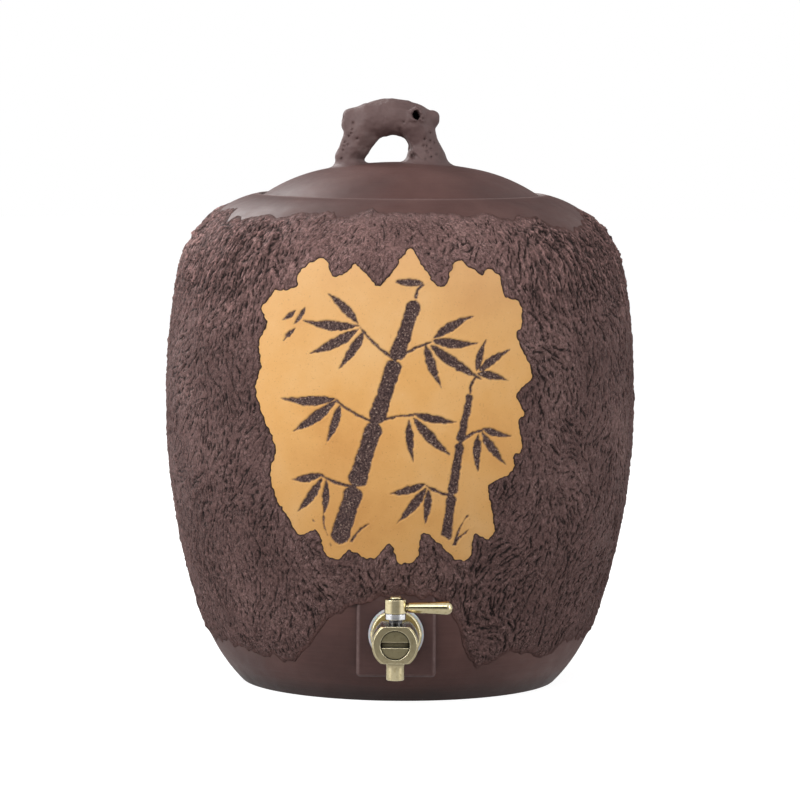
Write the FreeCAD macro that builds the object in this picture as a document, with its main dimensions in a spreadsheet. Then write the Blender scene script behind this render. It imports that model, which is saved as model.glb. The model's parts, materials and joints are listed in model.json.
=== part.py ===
import FreeCAD, Part

import math
import os
import re

import Sketcher

# A clay water pot: a wheel-made jar with a sunk lid and a branch handle, a rough bark coat
# with a bare window holding an ochre clay panel, and a small brass ball-valve tap.
# Frame: origin at the centre of the foot, +Z up, the tap points to -Y, its lever to +X.

Vector = FreeCAD.Vector

# Driving sizes in millimetres. Names that end in _height are above the foot, names that end
# in _rise are above the tap's axis, names that end in _reach are out from the pad's face.
SIZES = {
    # the jar's side: four arcs that meet smoothly
    "belly_radius": 124.5,
    "belly_height": 151.8,
    "lower_side_curve": 369.0,
    "upper_side_curve": 380.0,
    "shoulder_curve": 53.0,
    "shoulder_centre_height": 209.1,
    "foot_curve": 85.4,
    "foot_centre_height": 60.5,
    "wall": 7.5,
    "floor_thickness": 9.0,
    "floor_corner_round": 6.0,
    # the mouth and the ledge that the lid sits on
    "mouth_radius": 66.0,
    "ledge_depth": 7.8,
    "collar_thickness": 8.0,
    "collar_width": 20.0,
    "rim_round": 1.2,
    # the pad that carries the tap, and the flat seat behind it
    "pad_proud": 4.66,
    "pad_width": 41.0,
    "pad_drop": 22.4,
    "pad_top_margin": 22.0,
    "pad_round": 2.3,
    "pad_depth": 17.0,
    "seat_radius": 16.0,
    "shank_hole_radius": 6.5,
    # bark coat and ochre panel
    "coat_thickness": 1.2,
    "bare_shoulder": 18.5,
    "bare_foot": 22.5,
    "panel_thickness": 0.6,
    # lid
    "lid_overlap": 9.0,
    "lid_side_gap": 0.8,
    "lid_seat_gap": 0.1,
    "lid_rise": 23.75,
    "lid_crown_curve": 215.0,
    "lid_crown_radius": 40.0,
    "lid_shoulder_curve": 90.0,
    "lid_thickness": 6.5,
    "lid_edge_round": 1.2,
    "skirt_gap": 2.0,
    "skirt_wall": 5.0,
    "skirt_depth": 9.0,
    # branch handle
    "branch_radius": 8.8,
    "arch_radius": 16.6,
    "arch_rise": 7.55,
    "arch_offset": -4.9,
    "left_leg_lean": 24.0,
    "right_leg_lean": 14.0,
    "leg_root": 9.5,
    "left_leg_flare": 0.8,
    "right_leg_flare": 3.2,
    "flare_length": 16.0,
    "left_stub_radius": 5.4,
    "left_stub_length": 15.0,
    "right_stub_radius": 4.6,
    "right_stub_length": 13.0,
    "knot_radius": 4.6,
    "knot_hole_radius": 2.1,
    "knot_hole_depth": 7.0,
    # tap: pieces turned about its axis
    "tap_height": 39.0,
    "shank_radius": 6.0,
    "shank_fit": 0.05,
    "shank_spare": 2.5,
    "waterway_radius": 3.8,
    "outer_seal_radius": 14.2,
    "outer_seal_thickness": 1.8,
    "flange_radius": 13.2,
    "flange_thickness": 2.6,
    "flange_bevel": 0.9,
    "neck_radius": 7.5,
    "barrel_radius": 11.8,
    "barrel_flat": 9.4,
    "barrel_length": 20.5,
    "barrel_bevel": 0.9,
    "barrel_front_reach": 40.5,
    "inner_seal_radius": 12.0,
    "inner_seal_thickness": 2.0,
    "washer_radius": 11.0,
    "washer_thickness": 1.2,
    "nut_flats": 19.0,
    "nut_thickness": 6.0,
    # valve inside the barrel
    "ball_radius": 5.75,
    "ball_front_gap": 0.75,
    "port_radius": 3.0,
    "chamber_radius": 6.3,
    "ball_seat_fit": 0.05,
    "ball_seat_overlap": 1.8,
    "ball_seat_radial_gap": 0.1,
    "ball_seat_bore": 3.6,
    "ball_seat_length": 4.0,
    "plug_radius": 7.2,
    "plug_side_gap": 0.3,
    "plug_thickness": 2.4,
    "plug_recess": 0.8,
    "plug_slot_width": 2.9,
    "plug_slot_depth": 1.5,
    "plug_nose_radius": 5.4,
    "plug_seal_thickness": 0.8,
    # stem, gland, hub and lever
    "stem_radius": 2.2,
    "stem_fit": 0.05,
    "stem_flats": 3.4,
    "stem_foot_radius": 3.1,
    "stem_foot_rise": 5.9,
    "stem_foot_thickness": 1.0,
    "tang_width": 1.95,
    "tang_length": 4.4,
    "tang_depth": 1.35,
    "tang_fit": 0.05,
    "thrust_washer_thickness": 0.5,
    "gland_radius": 3.35,
    "gland_hole_gap": 0.03,
    "collar_rise": 12.0,
    "collar_radius": 5.25,
    "collar_height": 3.0,
    "ring_rise": 9.9,
    "ring_thickness": 0.7,
    "ring_squeeze": 0.02,
    "stop_pin_radius": 0.7,
    "stop_pin_circle": 3.95,
    "stop_pin_showing": 1.2,
    "stop_pin_fit": 0.05,
    "stop_pin_sunk": 2.0,
    "hub_radius": 5.65,
    "hub_height": 7.0,
    "hub_float": 0.2,
    "hub_web": 1.6,
    "lever_swing": 90.0,
    "lever_rise": 17.9,
    "lever_spigot_radius": 2.1,
    "lever_spigot_fit": 0.03,
    "lever_spigot_length": 2.5,
    "lever_neck_length": 0.8,
    "lever_root_radius": 2.5,
    "lever_tip_radius": 3.45,
    "lever_length": 22.4,
    "lever_tip_round": 3.0,
    "lever_screw_radius": 3.3,
    "lever_screw_head": 1.4,
    "lever_screw_shank": 1.25,
    "lever_screw_depth": 4.5,
    "lever_screw_gap": 0.1,
    "lever_screw_slot": 0.8,
    # spout
    "spout_drop": 19.0,
    "spout_top_radius": 5.0,
    "spout_tip_radius": 4.7,
    "spout_straight": 6.5,
    "spout_bore_radius": 3.1,
    "spout_spigot_radius": 3.9,
    "spout_spigot_length": 2.7,
    "spout_fit": 0.03,
    "spout_edge": 0.4,
}

# Sizes that follow from the driving ones: the lid fits the mouth and stands on its ledge, the
# handle stands on the lid, the pad's face stands a little proud of the jar's side, and the ball
# and its stem sit just behind the plug that closes the barrel's front.
WORKED_OUT = {
    "ledge_height": "shoulder_centre_height + shoulder_curve - ledge_depth",
    "lid_radius": "mouth_radius + lid_overlap",
    "skirt_radius": "mouth_radius - skirt_gap",
    "lid_crown_height": "ledge_height + lid_rise",
    "arch_centre_height": "lid_crown_height + arch_rise",
    "leg_foot_height": "lid_crown_height - leg_root",
    "side_at_tap": "sqrt(lower_side_curve ^ 2 - (belly_height - tap_height) ^ 2)",
    "pad_face": "belly_radius - lower_side_curve + side_at_tap + pad_proud",
    "seat_face": "pad_face - pad_depth",
    "pad_bottom_height": "tap_height - pad_drop",
    "foot_seam_height": "tap_height + pad_top_margin",
    "shoulder_seam_height": "shoulder_centre_height + shoulder_curve / 2",
    "spout_tip_height": "tap_height - spout_drop",
    "plug_floor_reach": "barrel_front_reach - plug_recess - plug_thickness - plug_seal_thickness",
    "stem_reach": "plug_floor_reach - ball_front_gap - ball_radius",
}

# The bare window in the bark coat: corners of its ragged edge seen from the front, as
# (distance right of the middle, height), clockwise from the top left.
WINDOW_EDGE = [
    (-63, 212), (-50, 219), (-42, 230), (-35, 230), (-31, 222), (-21, 229), (-9, 219), (2, 231),
    (9, 236), (14, 228), (22, 218), (32, 231), (41, 223), (52, 221), (56, 212), (64, 206),
    (61, 194), (69, 172), (61, 160), (64, 142), (59, 124), (48, 116), (50, 91), (39, 90),
    (34, 79), (26, 81), (15, 91), (5, 77), (-5, 85), (-14, 79), (-24, 82), (-33, 78), (-42, 93),
    (-54, 96), (-63, 116), (-63, 139), (-71, 162), (-68, 178), (-70, 189), (-66, 199),
]

# The smooth apron that the coat leaves free around the pad, from the left foot edge over the
# top of the pad to the right foot edge, in the same way.
APRON_EDGE = [
    (-60, 8), (-54, 24), (-41, 36), (-33, 50), (-20, 57), (-7, 60), (10, 60), (22, 57),
    (29, 40), (40, 22), (52, 8),
]

FRONT = FreeCAD.Rotation(Vector(1, 0, 0), 90)
RIGHT = FreeCAD.Rotation(Vector(0, 1, 0), 90)
LEFT = FreeCAD.Rotation(Vector(0, 1, 0), -90)
DOWN = FreeCAD.Rotation(Vector(1, 0, 0), 180)
AXIS = Vector(0, 0, 1)

doc = FreeCAD.newDocument("ClayWaterPot")
sheet = doc.addObject("Spreadsheet::Sheet", "Sizes")
rows = [(word, str(number)) for word, number in SIZES.items()]
rows += [(word, "=" + formula) for word, formula in WORKED_OUT.items()]
for row, (word, content) in enumerate(rows, start=1):
    sheet.set("A%d" % row, word)
    sheet.set("B%d" % row, content)
    sheet.setAlias("B%d" % row, word)
doc.recompute()

subparts = []


def size(word):
    """The number in the sheet's cell of that name."""
    return float(sheet.get(word))


def in_cells(formula):
    """The formula with each of its words pointing at the sheet's cell of that name."""
    return re.sub(r"\b[a-z_]{2,}\b(?!\()", lambda word: "Sizes." + word.group(0), formula)


def bind(item, **formulas):
    """Ties the item's properties to formulas of the sheet's sizes."""
    for name, formula in formulas.items():
        item.setExpression(name, in_cells(formula))


def place(item, x=None, y=None, z=None, turn=None):
    """Turns the item and ties its position to formulas of the sheet's sizes."""
    if turn:
        item.Placement = FreeCAD.Placement(Vector(), turn)
    for axis, formula in (("x", x), ("y", y), ("z", z)):
        if formula:
            item.setExpression(".Placement.Base." + axis, in_cells(formula))


def round_bar(name, radius, length, **where):
    bar = doc.addObject("Part::Cylinder", name)
    bind(bar, Radius=radius, Height=length)
    place(bar, **where)
    return bar


def block(name, x, y, z, dx, dy, dz):
    """A box from its lowest corner, with its three lengths."""
    box = doc.addObject("Part::Box", name)
    bind(box, Length=dx, Width=dy, Height=dz)
    place(box, x, y, z)
    return box


def joined(name, *pieces):
    whole = doc.addObject("Part::MultiFuse", name)
    whole.Shapes = list(pieces)
    return whole


def cut(name, base, *tools):
    rest = doc.addObject("Part::Cut", name)
    rest.Base = base
    rest.Tool = tools[0] if len(tools) == 1 else joined(name + "_tools", *tools)
    return rest


def shared(name, first, second):
    overlap = doc.addObject("Part::Common", name)
    overlap.Base = first
    overlap.Tool = second
    return overlap


def made(name, shape):
    """A shape worked out in code as an object of the document."""
    item = doc.addObject("Part::Feature", name)
    item.Shape = shape
    return item


def rounded(name, base, radius, chosen):
    """Rounds the edges of the base that the chosen test picks."""
    doc.recompute()
    rounding = doc.addObject("Part::Fillet", name)
    rounding.Base = base
    numbers = [i for i, edge in enumerate(base.Shape.Edges, start=1) if chosen(edge)]
    rounding.Edges = [(number, size(radius), size(radius)) for number in numbers]
    return rounding


def keep(item, label):
    """Marks a finished sub-part under the name that its file gets."""
    item.Label = label
    subparts.append(item)
    return item


def origin_plane(body, role):
    return next(part for part in body.Origin.OriginFeatures if part.Role == role)


def turned(name, outline, **where):
    """A body turned about its own Z axis from a half section of (radius, height) formulas."""
    body = doc.addObject("PartDesign::Body", name)
    section = body.newObject("Sketcher::SketchObject", name + "_section")
    section.AttachmentSupport = [(origin_plane(body, "XZ_Plane"), "")]
    section.MapMode = "FlatFace"
    count = len(outline)
    spread = [
        Vector(20 + 5 * math.cos(2 * math.pi * i / count), 5 * math.sin(2 * math.pi * i / count), 0)
        for i in range(count)
    ]
    for i in range(count):
        section.addGeometry(Part.LineSegment(spread[i], spread[(i + 1) % count]))
    for i in range(count):
        section.addConstraint(Sketcher.Constraint("Coincident", i, 2, (i + 1) % count, 1))
    for i, (radius, height) in enumerate(outline):
        for kind, formula, line, start in (
            ("DistanceX", radius, -2, spread[i].x),
            ("DistanceY", height, -1, spread[i].y),
        ):
            if formula == "0":
                section.addConstraint(Sketcher.Constraint("PointOnObject", i, 1, line))
            else:
                number = section.addConstraint(Sketcher.Constraint(kind, -1, 1, i, 1, start))
                label = "%s_%d" % (kind, i)
                section.renameConstraint(number, label)
                section.setExpression("Constraints." + label, in_cells(formula))
    spun = body.newObject("PartDesign::Revolution", name + "_turned")
    spun.Profile = section
    spun.ReferenceAxis = (section, ["V_Axis"])
    spun.Angle = 360
    section.Visibility = False
    place(body, **where)
    return body


# ---- the jar's side as a curve ----


def spun(edges):
    """The solid that a closed half section sweeps round the jar's axis."""
    section = Part.Face(Part.Wire(Part.__sortEdges__(edges)))
    return section.revolve(Vector(), AXIS, 360)

class Side:
    """The outline of the jar's side, moved outwards by an offset: foot, lower, upper, shoulder."""

    def __init__(self, offset):
        belly_z = size("belly_height")
        foot_z = size("foot_centre_height")
        shoulder_z = size("shoulder_centre_height")
        lower_x = size("belly_radius") - size("lower_side_curve")
        upper_x = size("belly_radius") - size("upper_side_curve")
        foot_gap = size("lower_side_curve") - size("foot_curve")
        shoulder_gap = size("upper_side_curve") - size("shoulder_curve")
        foot_x = lower_x + math.sqrt(foot_gap ** 2 - (foot_z - belly_z) ** 2)
        shoulder_x = upper_x + math.sqrt(shoulder_gap ** 2 - (shoulder_z - belly_z) ** 2)
        self.foot = (foot_x, foot_z, size("foot_curve") + offset)
        self.lower = (lower_x, belly_z, size("lower_side_curve") + offset)
        self.upper = (upper_x, belly_z, size("upper_side_curve") + offset)
        self.shoulder = (shoulder_x, shoulder_z, size("shoulder_curve") + offset)
        self.foot_joint = math.atan2(foot_z - belly_z, foot_x - lower_x)
        self.shoulder_joint = math.atan2(shoulder_z - belly_z, shoulder_x - upper_x)

    def arc(self, circle, start, end):
        x, z, radius = circle
        points = [
            Vector(x + radius * math.cos(angle), 0, z + radius * math.sin(angle))
            for angle in (start, (start + end) / 2, end)
        ]
        return Part.Arc(*points).toShape()

    def radius_near_foot(self, height):
        """How far out the curve is at a height on its lowest arc."""
        x, z, radius = self.foot
        return x + math.sqrt(radius ** 2 - (height - z) ** 2)

    def solid(self, bottom):
        """The full round solid inside the curve, from the bottom height to the crest."""
        start = math.asin((bottom - self.foot[1]) / self.foot[2])
        edges = [
            self.arc(self.foot, start, self.foot_joint),
            self.arc(self.lower, self.foot_joint, 0),
            self.arc(self.upper, 0, self.shoulder_joint),
            self.arc(self.shoulder, self.shoulder_joint, math.pi / 2),
        ]
        first = edges[0].Vertexes[0].Point
        last = edges[-1].Vertexes[-1].Point
        centre_top = Vector(0, 0, last.z)
        centre_bottom = Vector(0, 0, first.z)
        edges.append(Part.makeLine(last, centre_top))
        edges.append(Part.makeLine(centre_top, centre_bottom))
        edges.append(Part.makeLine(centre_bottom, first))
        return spun(edges)


def front_prism(edge_points, closed_by=()):
    """Everything in front of the jar's middle that lies behind an outline drawn from the front."""
    points = [Vector(x, 0, z) for x, z in edge_points]
    curve = Part.BSplineCurve()
    if closed_by:
        curve.interpolate(points)
        corners = [points[-1]] + [Vector(x, 0, z) for x, z in closed_by] + [points[0]]
        lines = [Part.makeLine(a, b) for a, b in zip(corners, corners[1:])]
        wire = Part.Wire([curve.toShape()] + lines)
    else:
        curve.interpolate(Points=points, PeriodicFlag=True)
        wire = Part.Wire([curve.toShape()])
    reach = size("pad_face") + size("belly_radius")
    return Part.Face(wire).extrude(Vector(0, -reach, 0))


def wavy_post(radius, depth, waves, bottom, height):
    """An upright post whose round outline wanders in and out in a few uneven waves."""
    count = 4 * max(turns for turns, phase, share in waves)
    points = []
    for step in range(count):
        angle = 2 * math.pi * step / count
        wander = sum(share * math.sin(turns * angle + phase) for turns, phase, share in waves)
        reach = radius + depth * wander
        points.append(Vector(reach * math.cos(angle), reach * math.sin(angle), bottom))
    curve = Part.BSplineCurve()
    curve.interpolate(Points=points, PeriodicFlag=True)
    return Part.Face(Part.Wire([curve.toShape()])).extrude(Vector(0, 0, height))


# ---- jar ----

jar_crest = size("shoulder_centre_height") + size("shoulder_curve")

jar_blank = made("jar_blank", Side(0).solid(0))
pad_block = block(
    "pad_block",
    "-pad_width / 2", "-pad_face", "pad_bottom_height",
    "pad_width", "pad_face - seat_face", "foot_seam_height - pad_bottom_height",
)


def on_pad_front(edge):
    """The edges of the pad's front face and its two lower side edges."""
    in_front = edge.BoundBox.YMax < -size("pad_face") + 0.1
    low = edge.BoundBox.ZMax < size("pad_bottom_height") + 0.1
    return in_front or (low and edge.BoundBox.YLength > 1)


pad = rounded("pad", pad_block, "pad_round", on_pad_front)

hollow_blank = made("hollow_blank", Side(-size("wall")).solid(size("floor_thickness")))
hollow_round = rounded(
    "hollow_round", hollow_blank, "floor_corner_round",
    lambda edge: edge.BoundBox.ZMax < size("floor_thickness") + 0.01 and edge.BoundBox.XLength > 1,
)
seat_boss = round_bar(
    "seat_boss", "seat_radius", "pad_face - seat_face",
    y="-seat_face", z="tap_height", turn=FRONT,
)
spotface = round_bar(
    "spotface", "seat_radius", "wall", y="-seat_face + wall", z="tap_height", turn=FRONT
)
collar_outer = round_bar(
    "collar_outer", "mouth_radius + collar_width", "3 * collar_thickness",
    z="ledge_height - collar_thickness",
)
collar_inner = round_bar(
    "collar_inner", "mouth_radius", "5 * collar_thickness",
    z="ledge_height - 2 * collar_thickness",
)
mouth_collar = cut("mouth_collar", collar_outer, collar_inner)
hollow = cut("hollow", hollow_round, seat_boss, mouth_collar)
mouth = round_bar(
    "mouth", "mouth_radius", "5 * collar_thickness", z="ledge_height - 2 * collar_thickness"
)
ledge = round_bar("ledge", "lid_radius + lid_side_gap", "3 * collar_thickness", z="ledge_height")
shank_hole = round_bar(
    "shank_hole", "shank_hole_radius", "2 * (pad_face - seat_face)",
    y="-seat_face + wall", z="tap_height", turn=FRONT,
)
jar_solid = joined("jar_solid", jar_blank, pad)
jar_cut = cut("jar_cut", jar_solid, hollow, mouth, ledge, spotface, shank_hole)


def jar_rim_or_foot(edge):
    """The rim where the shoulder drops to the ledge, and the outer edge of the foot."""
    box = edge.BoundBox
    flat = box.ZLength < 0.01 and box.XLength > size("mouth_radius")
    at_foot = flat and box.ZMax < 0.01
    at_rim = flat and box.ZMax > size("ledge_height") + 0.5 * (jar_crest - size("ledge_height"))
    return at_foot or at_rim


jar = rounded("jar", jar_cut, "rim_round", jar_rim_or_foot)

# A jar this large is built up: a base disc, rings for the foot, the side and the shoulder, the
# pad set into the foot, and a ledge for the lid inside the mouth.


def jar_slab(name, bottom, top):
    """Everything round the jar's axis between two heights."""
    return round_bar(name, "2 * belly_radius", "%s - (%s)" % (top, bottom), z=bottom)


base_slab = jar_slab("base_slab", "-floor_thickness", "floor_thickness")
foot_slab = jar_slab("foot_slab", "floor_thickness", "foot_seam_height")
lower_slab = jar_slab("lower_slab", "foot_seam_height", "belly_height")
upper_slab = jar_slab("upper_slab", "belly_height", "shoulder_centre_height")
bend_slab = jar_slab("bend_slab", "shoulder_centre_height", "shoulder_seam_height")
shoulder_slab = jar_slab("shoulder_slab", "shoulder_seam_height", "shoulder_seam_height * 2")
ledge_slab = round_bar(
    "ledge_slab", "mouth_radius + collar_width", "collar_thickness",
    z="ledge_height - collar_thickness",
)
pad_column = block(
    "pad_column",
    "-pad_width / 2", "-pad_face - wall", "pad_bottom_height",
    "pad_width", "pad_face - seat_face + 2 * wall", "foot_seam_height - pad_bottom_height",
)
keep(shared("pot_base_slice", jar, base_slab), "pot_base")
keep(cut("pot_foot_slotted", shared("pot_foot_slice", jar, foot_slab), pad_column), "pot_foot")
keep(shared("pot_lower_slice", jar, lower_slab), "pot_lower_wall")
keep(shared("pot_upper_slice", jar, upper_slab), "pot_upper_wall")
keep(shared("pot_bend_slice", jar, bend_slab), "pot_shoulder_bend")
keep(
    cut("pot_shoulder_notched", shared("pot_shoulder_slice", jar, shoulder_slab), ledge_slab),
    "pot_shoulder",
)
keep(shared("pot_ledge_slice", jar, ledge_slab), "pot_ledge")
keep(shared("tap_pad_slice", jar, pad_column), "tap_pad")

# ---- bark coat and ochre panel, two thin skins on the jar ----

window_prism = made("window_prism", front_prism(WINDOW_EDGE))
apron_prism = made(
    "apron_prism",
    front_prism(APRON_EDGE, closed_by=[(APRON_EDGE[-1][0], -20), (APRON_EDGE[0][0], -20)]),
)
top_post = made("top_post", wavy_post(
    size("lid_radius") + size("bare_shoulder"), 2.6, [(5, 0.4, 0.6), (13, 2.0, 0.6), (23, 1.1, 0.5)],
    size("belly_height"), jar_crest,
))
foot_post = made("foot_post", wavy_post(
    Side(0).radius_near_foot(size("bare_foot")), 1.5, [(4, 1.3, 0.7), (11, 0.2, 0.6), (19, 2.4, 0.5)],
    -size("floor_thickness"), size("belly_height"),
))
coat_blank = made("coat_blank", Side(size("coat_thickness")).solid(0))
coat_shell = cut("coat_shell", coat_blank, jar_blank, pad)
coat_trim = joined("coat_trim", window_prism, apron_prism, top_post, foot_post)
bark_coat = keep(cut("bark_coat_trimmed", coat_shell, coat_trim), "bark_coat")

panel_blank = made("panel_blank", Side(size("panel_thickness")).solid(0))
panel_shell = cut("panel_shell", panel_blank, jar_blank)
ochre_panel = keep(shared("ochre_panel_trimmed", panel_shell, window_prism), "ochre_panel")

# ---- lid ----


class Dome:
    """The lid's dome, or its inner face that far below: a crown arc and a shoulder arc."""

    def __init__(self, drop):
        crown = size("lid_crown_curve")
        side = size("lid_shoulder_curve")
        tilt = math.asin(size("lid_crown_radius") / crown)
        self.crown_z = size("lid_crown_height") - crown
        self.side_x = (crown - side) * math.sin(tilt)
        self.side_z = self.crown_z + (crown - side) * math.cos(tilt)
        self.crown = crown - drop
        self.side = side - drop
        self.joint = self.crown * math.sin(tilt)

    def point(self, radius):
        if radius <= self.joint:
            height = self.crown_z + math.sqrt(self.crown ** 2 - radius ** 2)
        else:
            height = self.side_z + math.sqrt(self.side ** 2 - (radius - self.side_x) ** 2)
        return Vector(radius, 0, height)

    def arcs(self, rim):
        """Its two arcs, from the middle out to the rim."""
        crown = Part.Arc(self.point(0), self.point(self.joint / 2), self.point(self.joint))
        middle = self.point((self.joint + rim) / 2)
        side = Part.Arc(self.point(self.joint), middle, self.point(rim))
        return [crown.toShape(), side.toShape()]


def lid_shape():
    """The sunk lid: a domed plate whose rim lies on the ledge, with a skirt down the mouth."""
    edge = size("lid_radius")
    seat = size("ledge_height") + size("lid_seat_gap")
    skirt_out = size("skirt_radius")
    skirt_in = skirt_out - size("skirt_wall")
    skirt_bottom = size("ledge_height") - size("skirt_depth")
    outer = Dome(0)
    inner = Dome(size("lid_thickness"))
    under = [
        outer.point(edge),
        Vector(edge, 0, seat),
        Vector(skirt_out, 0, seat),
        Vector(skirt_out, 0, skirt_bottom),
        Vector(skirt_in, 0, skirt_bottom),
        inner.point(skirt_in),
    ]
    edges = outer.arcs(edge) + inner.arcs(skirt_in)
    edges += [Part.makeLine(a, b) for a, b in zip(under, under[1:])]
    edges.append(Part.makeLine(inner.point(0), outer.point(0)))
    return spun(edges)


def under_dome():
    """Everything under the lid's outer face, down to the ledge."""
    edge = size("lid_radius")
    outer = Dome(0)
    low = Vector(0, 0, size("ledge_height"))
    low_edge = low + Vector(edge, 0, 0)
    return spun(outer.arcs(edge) + [
        Part.makeLine(outer.point(edge), low_edge),
        Part.makeLine(low_edge, low),
        Part.makeLine(low, outer.point(0)),
    ])


lid_blank = made("lid_blank", lid_shape())
lid = keep(rounded(
    "lid_rounded", lid_blank, "lid_edge_round",
    lambda edge: edge.BoundBox.ZLength < 0.01
    and edge.BoundBox.XMax > size("lid_radius") - 0.01
    and edge.BoundBox.ZMax > size("ledge_height") + 2 * size("lid_seat_gap"),
), "lid")

# ---- branch handle ----


def branch_frame():
    """Ends and tangent points of the arch: two straight legs and the arc between them."""
    centre = Vector(size("arch_offset"), 0, size("arch_centre_height"))
    left = math.radians(180 - size("left_leg_lean"))
    right = math.radians(size("right_leg_lean"))
    reach = size("arch_radius")
    bend_left = centre + Vector(reach * math.cos(left), 0, reach * math.sin(left))
    bend_right = centre + Vector(reach * math.cos(right), 0, reach * math.sin(right))
    down_left = Vector(-math.sin(left), 0, math.cos(left))
    down_right = Vector(math.sin(right), 0, -math.cos(right))
    return centre, bend_left, bend_right, down_left, down_right


def branch_shape():
    """The arched branch with its flared feet, two stubs and a hollow knot."""
    centre, bend_left, bend_right, down_left, down_right = branch_frame()
    radius = size("branch_radius")
    foot_left = bend_left + down_left * ((size("leg_foot_height") - bend_left.z) / down_left.z)
    foot_right = bend_right + down_right * ((size("leg_foot_height") - bend_right.z) / down_right.z)
    top = centre + Vector(0, 0, size("arch_radius"))
    path = Part.Wire([
        Part.makeLine(foot_left, bend_left),
        Part.Arc(bend_left, top, bend_right).toShape(),
        Part.makeLine(bend_right, foot_right),
    ])
    ring = Part.Wire([Part.makeCircle(radius, foot_left, down_left * -1)])
    branch = path.makePipeShell([ring], True, False)
    spread = size("flare_length")
    pieces = [
        Part.makeCone(radius + size(flare), radius, spread, foot, down * -1)
        for flare, foot, down in (
            ("left_leg_flare", foot_left, down_left), ("right_leg_flare", foot_right, down_right)
        )
    ]
    left_stub = centre + Vector(-size("arch_radius") * 0.7, 0, size("arch_radius") * 0.7)
    pieces.append(Part.makeCylinder(
        size("left_stub_radius"), size("left_stub_length"), left_stub, Vector(-1, 0, 0.35)
    ))
    right_stub = centre + Vector(size("arch_radius") * 0.8, 0, size("arch_radius") * 0.75)
    pieces.append(Part.makeCylinder(
        size("right_stub_radius"), size("right_stub_length"), right_stub, Vector(1, 0, 0.35)
    ))
    knot = right_stub + Vector(0, -radius * 0.4, size("knot_radius") * 0.7)
    pieces.append(Part.makeCylinder(size("knot_radius"), radius * 0.7, knot, Vector(0, -1, 0)))
    hole_end = knot + Vector(0, size("knot_hole_depth") - radius * 0.7, 0)
    hole = Part.makeCylinder(
        size("knot_hole_radius"), 1.5 * size("knot_hole_depth"), hole_end, Vector(0, -1, 0)
    )
    return branch.fuse(pieces).cut(hole)


branch = made("branch", branch_shape())
dome_filled = made("dome_filled", under_dome())
lid_handle = keep(cut("lid_handle_seated", branch, dome_filled), "lid_handle")

# ---- tap: pieces along its axis, each drawn outwards from the pad's face ----

ON_PAD = {"y": "-pad_face", "z": "tap_height", "turn": FRONT}
ON_SEAT = {"y": "-seat_face", "z": "tap_height", "turn": FRONT}
SHANK_BORE = "shank_radius + shank_fit"
FLANGE_FRONT = "(outer_seal_thickness + flange_thickness)"
BARREL_BACK = "(barrel_front_reach - barrel_length)"
WALL_DEPTH = "(pad_face - seat_face)"
SHANK_INSIDE = "(inner_seal_thickness + washer_thickness + nut_thickness + shank_spare)"
PLUG_FLOOR = "plug_floor_reach"


def washer(name, bore, radius, back, front, **where):
    return turned(name, [(bore, back), (radius, back), (radius, front), (bore, front)], **where)


outer_seal = keep(washer(
    "outer_seal", SHANK_BORE, "outer_seal_radius", "0", "outer_seal_thickness", **ON_PAD
), "outer_seal")

wall_flange = keep(turned("wall_flange", [
    (SHANK_BORE, "outer_seal_thickness"),
    ("flange_radius", "outer_seal_thickness"),
    ("flange_radius", FLANGE_FRONT + " - flange_bevel"),
    ("flange_radius - flange_bevel", FLANGE_FRONT),
    (SHANK_BORE, FLANGE_FRONT),
], **ON_PAD), "wall_flange")

tap_turning = turned("tap_turning", [
    ("waterway_radius", "-" + WALL_DEPTH + " - " + SHANK_INSIDE),
    ("shank_radius", "-" + WALL_DEPTH + " - " + SHANK_INSIDE),
    ("shank_radius", FLANGE_FRONT),
    ("neck_radius", FLANGE_FRONT),
    ("neck_radius", BARREL_BACK + " - barrel_radius + neck_radius"),
    ("barrel_radius", BARREL_BACK),
    ("barrel_radius", "barrel_front_reach - barrel_bevel"),
    ("barrel_radius - barrel_bevel", "barrel_front_reach"),
    ("plug_radius + plug_side_gap", "barrel_front_reach"),
    ("plug_radius + plug_side_gap", PLUG_FLOOR),
    ("chamber_radius", PLUG_FLOOR),
    ("chamber_radius", "stem_reach - ball_radius + ball_seat_overlap - ball_seat_length"),
    ("waterway_radius", "stem_reach - ball_radius + ball_seat_overlap - ball_seat_length"),
], **ON_PAD)
flats_block = block(
    "flats_block",
    "-2 * barrel_radius", "-pad_face - 2 * barrel_front_reach", "tap_height - barrel_flat",
    "4 * barrel_radius", "4 * barrel_front_reach", "2 * barrel_flat",
)
tap_flattened = shared("tap_flattened", tap_turning, flats_block)
gland_hole = round_bar(
    "gland_hole", "gland_radius + gland_hole_gap", "barrel_flat",
    y="-pad_face - stem_reach", z="tap_height + 0.5 * barrel_flat",
)
outlet_hole = round_bar(
    "outlet_hole", "spout_spigot_radius + spout_fit", "barrel_flat",
    y="-pad_face - stem_reach", z="tap_height - 0.5 * barrel_flat", turn=DOWN,
)
tap_body = keep(cut("tap_body_bored", tap_flattened, gland_hole, outlet_hole), "tap_body")

inner_seal = keep(washer(
    "inner_seal", SHANK_BORE, "inner_seal_radius", "-inner_seal_thickness", "0", **ON_SEAT
), "inner_seal")
inner_washer = keep(washer(
    "inner_washer", SHANK_BORE, "washer_radius",
    "-inner_seal_thickness - washer_thickness", "-inner_seal_thickness", **ON_SEAT
), "inner_washer")


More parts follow.
